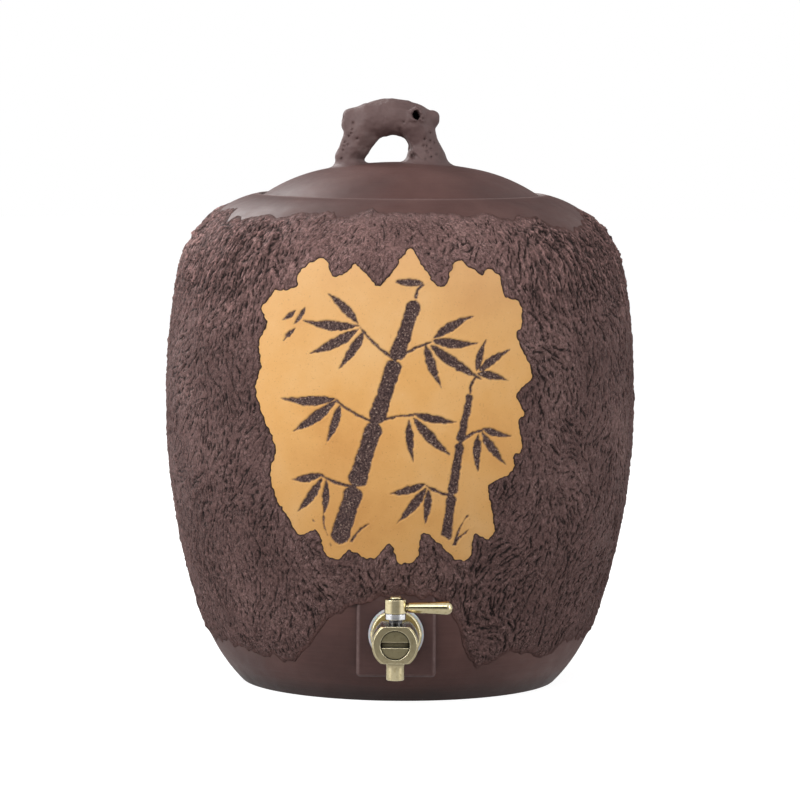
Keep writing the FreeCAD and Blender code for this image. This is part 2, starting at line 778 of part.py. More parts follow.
def hexagon_nut(name, flats, thickness, bore, **where):
    """A plain hexagon nut: a hexagon pad with a round bore."""
    body = doc.addObject("PartDesign::Body", name)
    outline = body.newObject("Sketcher::SketchObject", name + "_outline")
    outline.AttachmentSupport = [(origin_plane(body, "XY_Plane"), "")]
    outline.MapMode = "FlatFace"
    corners = [
        Vector(10 * math.cos(math.radians(60 * i)), 10 * math.sin(math.radians(60 * i)), 0)
        for i in range(6)
    ]
    for i in range(6):
        outline.addGeometry(Part.LineSegment(corners[i], corners[(i + 1) % 6]))
    guide = outline.addGeometry(Part.Circle(Vector(), AXIS, 10), True)
    hole = outline.addGeometry(Part.Circle(Vector(), AXIS, 4))
    for i in range(6):
        outline.addConstraint(Sketcher.Constraint("Coincident", i, 2, (i + 1) % 6, 1))
        outline.addConstraint(Sketcher.Constraint("PointOnObject", i, 1, guide))
    for i in range(5):
        outline.addConstraint(Sketcher.Constraint("Equal", i, i + 1))
    outline.addConstraint(Sketcher.Constraint("Coincident", guide, 3, -1, 1))
    outline.addConstraint(Sketcher.Constraint("Coincident", hole, 3, -1, 1))
    outline.addConstraint(Sketcher.Constraint("PointOnObject", 0, 1, -1))
    for label, circle, formula in (
        ("corner_circle", guide, "(" + flats + ") / sqrt(3)"),
        ("bore", hole, bore),
    ):
        number = outline.addConstraint(Sketcher.Constraint("Radius", circle, 5))
        outline.renameConstraint(number, label)
        outline.setExpression("Constraints." + label, in_cells(formula))
    pad_up = body.newObject("PartDesign::Pad", name + "_pad")
    pad_up.Profile = outline
    bind(pad_up, Length=thickness)
    outline.Visibility = False
    place(body, **where)
    return body


shank_nut = keep(hexagon_nut(
    "shank_nut", "nut_flats", "nut_thickness", SHANK_BORE,
    y="-seat_face + inner_seal_thickness + washer_thickness + nut_thickness",
    z="tap_height", turn=FRONT,
), "shank_nut")

# ---- valve: ball, two seats and the slotted plug that holds them ----


def valve_sphere(name, radius):
    """A sphere about the middle of the valve."""
    sphere = doc.addObject("Part::Sphere", name)
    bind(sphere, Radius=radius)
    place(sphere, y="-pad_face - stem_reach", z="tap_height")
    return sphere


SEAT_RADIUS = "chamber_radius - ball_seat_radial_gap"
REAR_SEAT_FRONT = "(stem_reach - ball_radius + ball_seat_overlap)"
FRONT_SEAT_BACK = "(stem_reach + ball_radius - ball_seat_overlap)"

rear_blank = washer(
    "rear_blank", "ball_seat_bore", SEAT_RADIUS,
    REAR_SEAT_FRONT + " - ball_seat_length", REAR_SEAT_FRONT, **ON_PAD
)
rear_cup = valve_sphere("rear_cup", "ball_radius + ball_seat_fit")
rear_seat = keep(cut("rear_seat_cupped", rear_blank, rear_cup), "rear_seat")
front_blank = washer(
    "front_blank", "ball_seat_bore", SEAT_RADIUS, FRONT_SEAT_BACK, PLUG_FLOOR, **ON_PAD
)
front_cup = valve_sphere("front_cup", "ball_radius + ball_seat_fit")
front_seat = keep(cut("front_seat_cupped", front_blank, front_cup), "front_seat")

PLUG_BACK = "(barrel_front_reach - plug_recess - plug_thickness)"
PLUG_FRONT = "(barrel_front_reach - plug_recess)"
plug_seal = keep(washer(
    "plug_seal", "plug_nose_radius", "plug_radius", PLUG_FLOOR, PLUG_BACK, **ON_PAD
), "plug_seal")
plug_blank = turned("plug_blank", [
    ("0", PLUG_FLOOR), ("plug_nose_radius", PLUG_FLOOR), ("plug_nose_radius", PLUG_BACK),
    ("plug_radius", PLUG_BACK), ("plug_radius", PLUG_FRONT), ("0", PLUG_FRONT),
], **ON_PAD)
plug_slot = block(
    "plug_slot",
    "-2 * plug_radius", "-pad_face - barrel_front_reach - plug_recess",
    "tap_height - plug_slot_width / 2",
    "4 * plug_radius", "2 * plug_recess + plug_slot_depth", "plug_slot_width",
)
front_plug = keep(cut("front_plug_slotted", plug_blank, plug_slot), "front_plug")

ball_blank = valve_sphere("ball_blank", "ball_radius")
side_port = round_bar(
    "side_port", "port_radius", "2 * ball_radius",
    y="-pad_face - stem_reach", z="tap_height", turn=LEFT,
)
down_port = round_bar(
    "down_port", "port_radius", "2 * ball_radius",
    y="-pad_face - stem_reach", z="tap_height", turn=DOWN,
)
port_corner = valve_sphere("port_corner", "port_radius")
TANG_BOTTOM = "(stem_foot_rise - tang_depth - tang_fit)"
ball_slot = block(
    "ball_slot",
    "-ball_radius", "-pad_face - stem_reach - tang_width / 2 - tang_fit",
    "tap_height + " + TANG_BOTTOM + " - tang_fit",
    "2 * ball_radius", "tang_width + 2 * tang_fit", "ball_radius",
)
valve_ball = keep(
    cut("valve_ball_bored", ball_blank, side_port, down_port, port_corner, ball_slot), "valve_ball"
)

# ---- stem and gland, upright through the top of the barrel ----

ON_STEM = {"y": "-pad_face - stem_reach", "z": "tap_height"}
FOOT_TOP = "(stem_foot_rise + stem_foot_thickness)"
GLAND_BOTTOM = "(" + FOOT_TOP + " + thrust_washer_thickness)"
COLLAR_TOP = "(collar_rise + collar_height)"
HUB_BOTTOM = "(" + COLLAR_TOP + " + hub_float)"
HUB_TOP = "(" + HUB_BOTTOM + " + hub_height)"
STEM_TOP = "(" + HUB_TOP + " - hub_web - lever_screw_gap)"
RING_GROOVE = "(stem_radius + stem_fit - ring_thickness)"
GROOVE_HALF = "(ring_thickness / 2 + 2 * ring_squeeze)"

stem_turning = turned("stem_turning", [
    ("0", "stem_foot_rise"),
    ("stem_foot_radius", "stem_foot_rise"),
    ("stem_foot_radius", FOOT_TOP),
    ("stem_radius", FOOT_TOP),
    ("stem_radius", "ring_rise - " + GROOVE_HALF),
    (RING_GROOVE, "ring_rise - " + GROOVE_HALF),
    (RING_GROOVE, "ring_rise + " + GROOVE_HALF),
    ("stem_radius", "ring_rise + " + GROOVE_HALF),
    ("stem_radius", STEM_TOP),
    ("lever_screw_shank", STEM_TOP),
    ("lever_screw_shank", STEM_TOP + " - lever_screw_depth"),
    ("0", STEM_TOP + " - lever_screw_depth"),
], **ON_STEM)
tang = block(
    "tang",
    "-tang_length / 2", "-pad_face - stem_reach - tang_width / 2", "tap_height + " + TANG_BOTTOM,
    "tang_length", "tang_width", "tang_depth + tang_fit + stem_foot_thickness / 2",
)
stem_whole = joined("stem_whole", stem_turning, tang)
flat_cutters = [
    block(
        "stem_flat_" + side,
        "-2 * stem_radius", "-pad_face - stem_reach + " + start, "tap_height + " + HUB_BOTTOM,
        "4 * stem_radius", "stem_radius", "hub_height",
    )
    for side, start in (
        ("rear", "stem_flats / 2"), ("front", "(-stem_flats / 2 - stem_radius)")
    )
]
valve_stem = keep(cut("valve_stem_flatted", stem_whole, *flat_cutters), "valve_stem")

thrust_washer = keep(washer(
    "thrust_washer", "stem_radius + stem_fit", "gland_radius - stem_fit", FOOT_TOP, GLAND_BOTTOM,
    **ON_STEM
), "thrust_washer")

stem_ring = doc.addObject("Part::Torus", "stem_ring_torus")
bind(
    stem_ring,
    Radius1="stem_radius + stem_fit - ring_thickness / 2",
    Radius2="ring_thickness / 2 - ring_squeeze",
)
place(stem_ring, y="-pad_face - stem_reach", z="tap_height + ring_rise")
keep(stem_ring, "stem_ring")

gland_turning = turned("gland_turning", [
    ("stem_radius + stem_fit", GLAND_BOTTOM),
    ("gland_radius", GLAND_BOTTOM),
    ("gland_radius", "collar_rise"),
    ("collar_radius", "collar_rise"),
    ("collar_radius", COLLAR_TOP),
    ("stem_radius + stem_fit", COLLAR_TOP),
], **ON_STEM)
pin_hole = round_bar(
    "pin_hole", "stop_pin_radius", "stop_pin_sunk + collar_height",
    y="-pad_face - stem_reach + stop_pin_circle", z="tap_height + " + COLLAR_TOP + " - stop_pin_sunk",
)
gland_nut = keep(cut("gland_nut_drilled", gland_turning, pin_hole), "gland_nut")
stop_pin = keep(round_bar(
    "stop_pin_bar", "stop_pin_radius", "stop_pin_sunk + stop_pin_showing",
    y="-pad_face - stem_reach + stop_pin_circle", z="tap_height + " + COLLAR_TOP + " - stop_pin_sunk",
), "stop_pin")

# ---- hub, lever and its screw; the lever lies to the right when the tap is shut ----

hub_turning = turned("hub_turning", [
    ("0", HUB_BOTTOM), ("hub_radius", HUB_BOTTOM), ("hub_radius", HUB_TOP), ("0", HUB_TOP),
], **ON_STEM)
hub_bore = shared(
    "hub_bore",
    round_bar(
        "hub_bore_round", "stem_radius + stem_fit", "hub_float + hub_height - hub_web",
        y="-pad_face - stem_reach", z="tap_height + " + COLLAR_TOP,
    ),
    block(
        "hub_bore_flats",
        "-2 * stem_radius", "-pad_face - stem_reach - stem_flats / 2 - stem_fit",
        "tap_height + " + COLLAR_TOP,
        "4 * stem_radius", "stem_flats + 2 * stem_fit", "hub_float + hub_height - hub_web",
    ),
)
hub_screw_hole = round_bar(
    "hub_screw_hole", "lever_screw_shank + lever_screw_gap", "2 * hub_web",
    y="-pad_face - stem_reach", z="tap_height + " + HUB_TOP + " - 1.5 * hub_web",
)
GROOVE_DEPTH = "(stop_pin_showing - hub_float + 2 * stop_pin_fit)"
GROOVE_BOTTOM = "tap_height + " + COLLAR_TOP
GROOVE_HEIGHT = "hub_float + " + GROOVE_DEPTH


def groove_sector(name, radius):
    """A quarter-turn slice of a bar about the stem, from the pin back round to the left."""
    sector = round_bar(
        name, radius, GROOVE_HEIGHT, y="-pad_face - stem_reach", z=GROOVE_BOTTOM,
        turn=FreeCAD.Rotation(AXIS, 90),
    )
    bind(sector, Angle="lever_swing")
    return sector


stop_track = cut(
    "stop_track",
    groove_sector("track_outer", "stop_pin_circle + stop_pin_radius + stop_pin_fit"),
    groove_sector("track_inner", "stop_pin_circle - stop_pin_radius - stop_pin_fit"),
)
track_end_angle = math.radians(90 + size("lever_swing"))
track_ends = [
    round_bar(
        "track_end_" + side, "stop_pin_radius + stop_pin_fit", GROOVE_HEIGHT,
        x="stop_pin_circle * %.6f" % math.cos(angle),
        y="-pad_face - stem_reach + stop_pin_circle * %.6f" % math.sin(angle),
        z=GROOVE_BOTTOM,
    )
    for side, angle in (("shut", math.radians(90)), ("open", track_end_angle))
]
SPIGOT_START = "(hub_radius - lever_spigot_length)"
lever_socket = round_bar(
    "lever_socket", "lever_spigot_radius + lever_spigot_fit", "2 * hub_radius",
    x=SPIGOT_START + " - lever_spigot_fit", y="-pad_face - stem_reach",
    z="tap_height + lever_rise", turn=RIGHT,
)
lever_hub = keep(
    cut("lever_hub_cut", hub_turning, hub_bore, hub_screw_hole, stop_track, *track_ends, lever_socket),
    "lever_hub",
)

ROD_START = "(hub_radius + lever_neck_length)"
rod_turning = turned("rod_turning", [
    ("0", SPIGOT_START),
    ("lever_spigot_radius", SPIGOT_START),
    ("lever_spigot_radius", ROD_START),
    ("lever_root_radius", ROD_START),
    ("lever_tip_radius", ROD_START + " + lever_length - lever_tip_radius"),
    ("lever_tip_radius", ROD_START + " + lever_length"),
    ("0", ROD_START + " + lever_length"),
], y="-pad_face - stem_reach", z="tap_height + lever_rise", turn=RIGHT)
lever_end = size("hub_radius") + size("lever_neck_length") + size("lever_length")
lever_rod = keep(rounded(
    "lever_rod_rounded", rod_turning, "lever_tip_round",
    lambda edge: edge.BoundBox.XMin > lever_end - 0.01 and edge.BoundBox.YLength > 1,
), "lever_rod")

screw_turning = turned("screw_turning", [
    ("0", STEM_TOP + " - lever_screw_depth + lever_screw_gap"),
    ("lever_screw_shank", STEM_TOP + " - lever_screw_depth + lever_screw_gap"),
    ("lever_screw_shank", HUB_TOP),
    ("lever_screw_radius", HUB_TOP),
    ("lever_screw_radius", HUB_TOP + " + lever_screw_head / 2"),
    ("lever_screw_radius - lever_screw_head / 2", HUB_TOP + " + lever_screw_head"),
    ("0", HUB_TOP + " + lever_screw_head"),
], **ON_STEM)
screw_slot = block(
    "screw_slot",
    "-2 * lever_screw_radius", "-pad_face - stem_reach - lever_screw_slot / 2",
    "tap_height + " + HUB_TOP + " + lever_screw_head / 2",
    "4 * lever_screw_radius", "lever_screw_slot", "lever_screw_head",
)
lever_screw = keep(cut("lever_screw_slotted", screw_turning, screw_slot), "lever_screw")

# ---- spout, screwed up into the underside of the barrel ----

SPOUT_TOP = "(tap_height - barrel_flat)"
spout = keep(turned("spout", [
    ("spout_bore_radius", "spout_tip_height"),
    ("spout_tip_radius - spout_edge", "spout_tip_height"),
    ("spout_tip_radius", "spout_tip_height + spout_edge"),
    ("spout_tip_radius", "spout_tip_height + spout_edge + spout_straight"),
    ("spout_top_radius", SPOUT_TOP + " - spout_edge"),
    ("spout_top_radius - spout_edge", SPOUT_TOP),
    ("spout_spigot_radius", SPOUT_TOP),
    ("spout_spigot_radius", SPOUT_TOP + " + spout_spigot_length"),
    ("spout_bore_radius", SPOUT_TOP + " + spout_spigot_length"),
], y="-pad_face - stem_reach"), "spout")

# ---- check and write ----

doc.recompute()
for item in doc.Objects:
    if "Invalid" in item.State or "Error" in item.State:
        raise RuntimeError("%s did not build: %s" % (item.Name, item.State))
os.makedirs("parts", exist_ok=True)
for item in subparts:
    shape = item.Shape
    if shape.isNull() or not shape.isValid() or not shape.Solids:
        raise RuntimeError("%s has no valid solid" % item.Label)
for item in subparts:
    item.Shape.exportStep("parts/%s.step" % item.Label)
    box = item.Shape.BoundBox
    print(
        "%-14s solids %d volume %10.1f  x %.1f..%.1f  y %.1f..%.1f  z %.1f..%.1f"
        % (item.Label, len(item.Shape.Solids), item.Shape.Volume,
           box.XMin, box.XMax, box.YMin, box.YMax, box.ZMin, box.ZMax)
    )
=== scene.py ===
# %% [markdown]
# # A clay water pot with a brass tap
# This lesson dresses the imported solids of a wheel-made clay jar. The solids give every place
# and size, and they carry the physics. Here they get the skin that a potter gives the real one:
# a coat of clay torn into bark, an ochre panel with carving, and a branch for a handle.
# Everything is in metres and in the solids' own frame: the foot stands on z = 0, and the tap
# points to -Y.

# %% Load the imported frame
import json
import math

import bpy
import numpy as np
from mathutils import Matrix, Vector


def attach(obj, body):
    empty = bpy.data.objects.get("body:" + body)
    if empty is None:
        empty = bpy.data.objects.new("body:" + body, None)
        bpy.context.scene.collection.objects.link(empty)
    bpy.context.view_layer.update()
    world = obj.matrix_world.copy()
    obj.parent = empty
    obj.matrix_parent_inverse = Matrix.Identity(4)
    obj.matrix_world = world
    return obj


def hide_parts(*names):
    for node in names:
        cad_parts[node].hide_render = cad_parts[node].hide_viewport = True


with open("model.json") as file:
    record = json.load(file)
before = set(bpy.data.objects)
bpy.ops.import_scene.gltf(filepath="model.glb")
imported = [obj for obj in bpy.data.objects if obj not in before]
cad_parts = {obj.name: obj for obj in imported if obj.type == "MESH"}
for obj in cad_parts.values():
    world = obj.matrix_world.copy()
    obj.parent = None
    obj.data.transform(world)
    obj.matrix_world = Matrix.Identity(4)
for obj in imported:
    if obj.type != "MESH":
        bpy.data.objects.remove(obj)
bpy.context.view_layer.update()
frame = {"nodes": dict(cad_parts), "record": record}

MM = 0.001

# %% [markdown]
# ## A mesh from points and faces
# Every piece that is modelled here starts as arrays of points and faces, worked out in
# millimetres because that is how a potter or a fitter would measure it. One helper turns them
# into a smooth Blender object. Blender could also model each piece with its own primitives,
# but arrays let one formula move a hundred thousand points at once.

# %% Build a piece
def build_piece(name, points, faces, finish, body, stands_for):
    """A mesh piece from points in millimetres, riding on its body in place of its solids."""
    mesh = bpy.data.meshes.new(name)
    rows = [face for group in faces for face in np.asarray(group).tolist()]
    mesh.from_pydata((np.asarray(points) * MM).tolist(), [], rows)
    mesh.shade_smooth()
    mesh.materials.append(finish)
    piece = bpy.data.objects.new(name, mesh)
    bpy.context.scene.collection.objects.link(piece)
    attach(piece, body)
    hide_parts(*stands_for)
    print(name, len(mesh.vertices), "points,", len(mesh.polygons), "faces")
    return piece

# %% [markdown]
# ## The jar's side as one curve
# The side of the jar is four arcs that run into each other: foot, lower side, upper side and
# shoulder. The bark and the panel are skins on that curve, so they need it as a table: how far
# along the side, how far out, how high, and which way the surface faces. A point of a skin is
# then given by three numbers: the angle round the jar, the distance up the side, and the lift
# off the clay.

# %% Measure the side
BELLY = (124.5, 151.8)
LOWER_CURVE = 369.0
UPPER_CURVE = 380.0
SHOULDER = (53.0, 209.1)
FOOT = (85.4, 60.5)


def arc_points(centre, radius, start, end, count):
    """Rows of (out, height, facing out, facing up) along an arc."""
    turn = np.linspace(start, end, count)
    across, up = np.cos(turn), np.sin(turn)
    return np.stack([centre[0] + radius * across, centre[1] + radius * up, across, up], 1)


def side_table():
    """The rows of all four arcs, from the ground to the crest."""
    lower = BELLY[0] - LOWER_CURVE
    upper = BELLY[0] - UPPER_CURVE
    foot_out = lower + math.sqrt((LOWER_CURVE - FOOT[0]) ** 2 - (FOOT[1] - BELLY[1]) ** 2)
    crest_out = upper + math.sqrt((UPPER_CURVE - SHOULDER[0]) ** 2 - (SHOULDER[1] - BELLY[1]) ** 2)
    foot_turn = math.atan2(FOOT[1] - BELLY[1], foot_out - lower)
    crest_turn = math.atan2(SHOULDER[1] - BELLY[1], crest_out - upper)
    ground = math.asin(-FOOT[1] / FOOT[0])
    return np.concatenate([
        arc_points((foot_out, FOOT[1]), FOOT[0], ground, foot_turn, 900),
        arc_points((lower, BELLY[1]), LOWER_CURVE, foot_turn, 0, 2400)[1:],
        arc_points((upper, BELLY[1]), UPPER_CURVE, 0, crest_turn, 1400)[1:],
        arc_points((crest_out, SHOULDER[1]), SHOULDER[0], crest_turn, math.pi / 2, 1500)[1:],
    ])


SIDE = side_table()
ALONG = np.concatenate([[0], np.cumsum(np.hypot(*np.diff(SIDE[:, :2], axis=0).T))])
WIDEST = int(np.argmax(SIDE[:, 0]))
print("side: %.1f mm long, %.1f mm out, %.1f mm high" % (ALONG[-1], SIDE[:, 0].max(), SIDE[-1, 1]))

# %% [markdown]
# ## A flat map of the jar
# The skins are drawn on a map, as a globe is: across is the way round at a fixed radius, up is
# the way up the side. Nothing is cut open at the front, because the map's seam is at the back.

# %% Lay out the map
MAP_RADIUS = 120.0
MAP_STEP = 0.4
MAP_MARGIN = 8.0
MAP_LOW = float(np.interp(MAP_MARGIN, SIDE[:, 1], ALONG))
MAP_HIGH = float(ALONG[-1]) - MAP_MARGIN
ROUND = 2 * math.pi * MAP_RADIUS
across_count = int(round(ROUND / MAP_STEP / 8)) * 8
up_count = int((MAP_HIGH - MAP_LOW) / MAP_STEP)
across_step = ROUND / across_count
ACROSS = (np.arange(across_count) - across_count // 2) * across_step
UP = MAP_LOW + np.arange(up_count) * MAP_STEP
print("map: %d x %d cells" % (across_count, up_count))


def on_jar(across, up, lift):
    """Points in millimetres of places on the map, lifted off the jar's clay."""
    out, height, face_out, face_up = (np.interp(up, ALONG, SIDE[:, i]) for i in range(4))
    out = out + lift * face_out
    turn = across / MAP_RADIUS
    return np.stack([out * np.sin(turn), -out * np.cos(turn), height + lift * face_up], -1)


def from_front(x, z):
    """Map places of points seen from the front, x to the right and z above the ground."""
    x, z = np.asarray(x, float), np.asarray(z, float)
    out = np.interp(z, SIDE[:, 1], SIDE[:, 0])
    turn = np.arcsin(np.clip(x / out, -0.999, 0.999))
    return turn * MAP_RADIUS, np.interp(z, SIDE[:, 1], ALONG)


def on_shoulder(radius):
    """How far up the side the shoulder has drawn in to a radius."""
    return np.interp(-np.asarray(radius, float), -SIDE[WIDEST:, 0], ALONG[WIDEST:])

# %% [markdown]
# ## Grain of a chosen size
# Torn clay is never regular, and it is never plain noise either: it has a size. These helpers
# make noise of a chosen size by blurring random numbers. The numbers start from a fixed seed
# each time, so the jar comes out the same on every run.

# %% Grain on the map
def blurred(field, size):
    """The field smoothed over a size in millimetres; it wraps round the jar."""
    up_waves = np.fft.fftfreq(field.shape[0], MAP_STEP)[:, None]
    across_waves = np.fft.rfftfreq(field.shape[1], across_step)[None, :]
    keep = np.exp(-2 * (math.pi * size) ** 2 * (up_waves ** 2 + across_waves ** 2))
    return np.fft.irfft2(np.fft.rfft2(field) * keep, s=field.shape)


def grain(size, seed):
    """Random lumps of a size in millimetres, with mean 0 and spread 1."""
    field = blurred(np.random.default_rng(seed).standard_normal((up_count, across_count)), size)
    return (field - field.mean()) / field.std()


wander = grain(0.7, 11)
print("a grain of 0.7 mm runs from %.1f to %.1f" % (wander.min(), wander.max()))

# %% [markdown]
# ## Look up a place on the map
# A mesh point rarely falls on the middle of a map cell. Its value is mixed from the four cells
# round it, each weighed by how near it is, which leaves no steps.

# %% Values between the cells
def looked_up(field, across, up):
    """The field's values between its cells, wrapping round the jar."""
    column = (across - ACROSS[0]) / across_step
    row = np.clip((up - UP[0]) / MAP_STEP, 0, up_count - 1.001)
    left, low = np.floor(column).astype(int), np.floor(row).astype(int)
    right_share, high_share = column - left, row - low
    left, right = left % across_count, (left + 1) % across_count
    bottom = field[low, left] * (1 - right_share) + field[low, right] * right_share
    top = field[low + 1, left] * (1 - right_share) + field[low + 1, right] * right_share
    return bottom * (1 - high_share) + top * high_share


halfway = looked_up(wander, ACROSS[0] + across_step / 2, UP[0])
print("half-way between two cells: %.3f" % halfway)

# %% [markdown]
# ## Outlines on the map
# The window in the bark has a torn edge of lobes and notches. It is drawn as a ring of points
# seen from the front, rounded into a smooth line. Distance to that line is worked out for the
# whole map once, since the bark's thickness, its roughness and the cut of its mesh all depend
# on how near the edge is.

# %% Smooth lines and distances
def smooth_ring(points, spacing):
    """A closed smooth curve through the points, as evenly spaced points."""
    points = np.asarray(points, float)
    before, after = np.roll(points, 1, 0), np.roll(points, -1, 0)
    later = np.roll(points, -2, 0)
    share = np.linspace(0, 1, 24, endpoint=False)[:, None, None]
    curve = 0.5 * (
        2 * points + (after - before) * share
        + (2 * before - 5 * points + 4 * after - later) * share ** 2
        + (3 * points - before - 3 * after + later) * share ** 3
    )
    curve = curve.transpose(1, 0, 2).reshape(-1, 2)
    curve = np.concatenate([curve, curve[:1]])
    run = np.concatenate([[0], np.cumsum(np.hypot(*np.diff(curve, axis=0).T))])
    even = np.arange(0, run[-1], spacing)
    return np.stack([np.interp(even, run, curve[:, i]) for i in (0, 1)], 1)


def ring_mask(ring, across, up):
    """True inside the ring, on a grid of across and up."""
    inside = np.zeros((len(up), len(across)), bool)
    ends = np.roll(ring, -1, 0)
    for row, height in enumerate(up):
        crossing = (ring[:, 1] > height) != (ends[:, 1] > height)
        a, b = ring[crossing], ends[crossing]
        meets = np.sort(a[:, 0] + (height - a[:, 1]) / (b[:, 1] - a[:, 1]) * (b[:, 0] - a[:, 0]))
        for first, second in zip(meets[::2], meets[1::2]):
            inside[row, (across > first) & (across < second)] ^= True
    return inside


def ring_distance(ring, across, up, reach):
    """Distance in from the ring, negative outside it, up to a reach, on a grid."""
    far = np.full((len(up), len(across)), reach)
    for row, height in enumerate(up):
        near = ring[np.abs(ring[:, 1] - height) < reach]
        if not len(near):
            continue
        span = (across > near[:, 0].min() - reach) & (across < near[:, 0].max() + reach)
        gap = (across[span][:, None] - near[:, 0]) ** 2 + (height - near[:, 1]) ** 2
        far[row, span] = np.minimum(reach, np.sqrt(gap.min(1)))
    return np.where(ring_mask(ring, across, up), far, -far)


square = smooth_ring([(0, 0), (10, 0), (10, 10), (0, 10)], 0.1)
print("a square of 10 mm is rounded into a ring of %d points" % len(square))

# %% [markdown]
# ## The window and the coat's two ragged ends
# Three lines bound the bark: the ring of the window, a wavering line where it thins out on the
# shoulder, and another near the foot that climbs over the pad of the tap. The two lines are
# given as heights or radii at some angles round the jar, with scallops added by noise.

# %% Draw the coat's outline
WINDOW = [
    (-69, 204.5), (-67, 209.5), (-62, 214.5), (-53, 216.5), (-50, 224.5), (-44, 229.5), (-37, 231),
    (-34, 224), (-31, 222), (-25, 226), (-22.5, 229), (-16, 224), (-10, 218), (-3, 225),
    (2.5, 233), (6.5, 236), (11.5, 229), (18, 220), (21, 218), (24, 219), (27, 228), (31.5, 231),
    (36, 227.5), (42, 223.5), (45, 226.5), (51, 222.5), (54, 212.5), (61, 209.5), (63, 197.5),
    (60, 193.5), (63, 185.5), (68, 172.5), (61.5, 164.5), (60.5, 160.5), (64.5, 152.5),
    (61.5, 148.5), (63.5, 135.5), (59.5, 131.5), (58.5, 123.5), (51.5, 119.5), (46.5, 116.5),
    (48.5, 103.5), (49.5, 92.5), (45.5, 88.5), (39.5, 91.5), (37, 79.5), (31, 78), (28, 80),
    (21.5, 87), (15.5, 92), (12.5, 91), (10, 79), (4, 77), (1, 77), (-2.5, 86), (-6.5, 85),
    (-12, 79), (-21.5, 82), (-24.5, 83), (-30, 78), (-36, 80), (-39.5, 91.5), (-43.5, 92.5),
    (-49.5, 89.5), (-52.5, 93.5), (-58.5, 103.5), (-60.5, 105.5), (-64.5, 118.5), (-62.5, 130.5),
    (-63.5, 138.5), (-68.5, 150.5), (-72.5, 163.5), (-70, 175.5), (-71, 187.5), (-67, 196.5),
]
COAT_TOP = [
    (-180, 93), (-150, 91), (-125, 95), (-105, 93), (-90, 94), (-78, 97), (-70, 95), (-66, 95.3),
    (-62, 103), (-56, 101), (-50, 99), (-46, 97), (-40, 99), (-34, 97), (-25, 94.5), (-18, 96.5),
    (-9, 91), (-4, 95.3), (1, 94), (10, 93), (19, 96), (27, 95), (34, 98.5), (40, 98), (46, 95.6),
    (49, 101.5), (52.5, 104), (57, 105.4), (61, 106), (65, 104.6), (69, 102), (75, 98), (80, 93),
    (90, 97), (110, 94), (130, 91), (155, 95), (180, 93),
]
COAT_FOOT = [
    (-180, 24), (-140, 27), (-110, 23), (-92, 26), (-53, 24), (-34, 20), (-30, 22), (-26, 29),
    (-22.4, 38.5), (-19.5, 44), (-16.8, 46.6), (-13.3, 51.6), (-10.4, 55), (-4.5, 58), (0, 59),
    (7, 57.5), (10.9, 57), (13.4, 54.5), (16.6, 46), (18.4, 37), (20.6, 25), (24, 19), (31, 21.6),
    (35.5, 27), (40, 24.5), (50, 21), (62, 27), (100, 25), (125, 22), (155, 27), (180, 24),
]

print("outlines: %d, %d and %d places" % (len(WINDOW), len(COAT_TOP), len(COAT_FOOT)))

# %% [markdown]
# ## How far inside the coat a place lies
# The drawn lines are too clean for torn clay, so each is shifted a little by grain. Each then
# gives a distance, and the least of the three says how deep inside the coat a place lies. Where
# it is below nought there is no coat.

# %% Distances from the outlines
RING_SPACING, RING_WANDER = 0.3, 0.34
WINDOW_REACH = 12.0

window_ring = smooth_ring(np.stack(from_front(*np.array(WINDOW, float).T), 1), RING_SPACING)
window_ring += RING_WANDER * np.stack([
    looked_up(field, *window_ring.T) for field in (wander, np.roll(wander, 400, 1))
], 1)

turns = np.degrees(ACROSS / MAP_RADIUS)
scallops = np.stack([grain(size, seed)[300] for size, seed in ((1.6, 21), (4.5, 22))])
top_line = on_shoulder(np.interp(turns, *zip(*COAT_TOP))) + 1.0 * scallops[0] + 1.1 * scallops[1]
foot_height = np.interp(turns, *zip(*COAT_FOOT))
foot_line = np.interp(foot_height, SIDE[:, 1], ALONG)
foot_line += 1.1 * scallops[0][::-1] + 0.8 * scallops[1][::-1]


def covered(field):
    """The area in square centimetres where a field on the map is above 0."""
    return (field > 0).sum() * MAP_STEP * across_step / 100


def line_distance(line):
    """How far each map place lies above a line that runs round the jar."""
    slope = (np.roll(line, -6) - np.roll(line, 6)) / (12 * across_step)
    return (UP[:, None] - line) / np.hypot(1, slope)


below_top = -line_distance(top_line)
above_foot = line_distance(foot_line)
off_window = -ring_distance(window_ring, ACROSS, UP, WINDOW_REACH)
coat_depth = np.minimum(np.minimum(below_top, above_foot), off_window)
print("coat covers %.0f cm2" % covered(coat_depth))

# %% [markdown]
# ## Bark relief
# On the real jar, stiff clay is smeared on and torn with a wooden tool in short strokes that
# lean in towards the middle, so light catches little ridges beside dark nicks. At both sides of
# the shoulder the tool has been drawn further, which leaves long parallel strokes, and above the
# window the clay is calmer. Sculpting it by hand would take days. Here the same things are added
# up: soft lumps, streaks dragged along the lean, and thousands of nicks and ridges stamped one
# by one, each with its own length, width, depth, lean and bend.

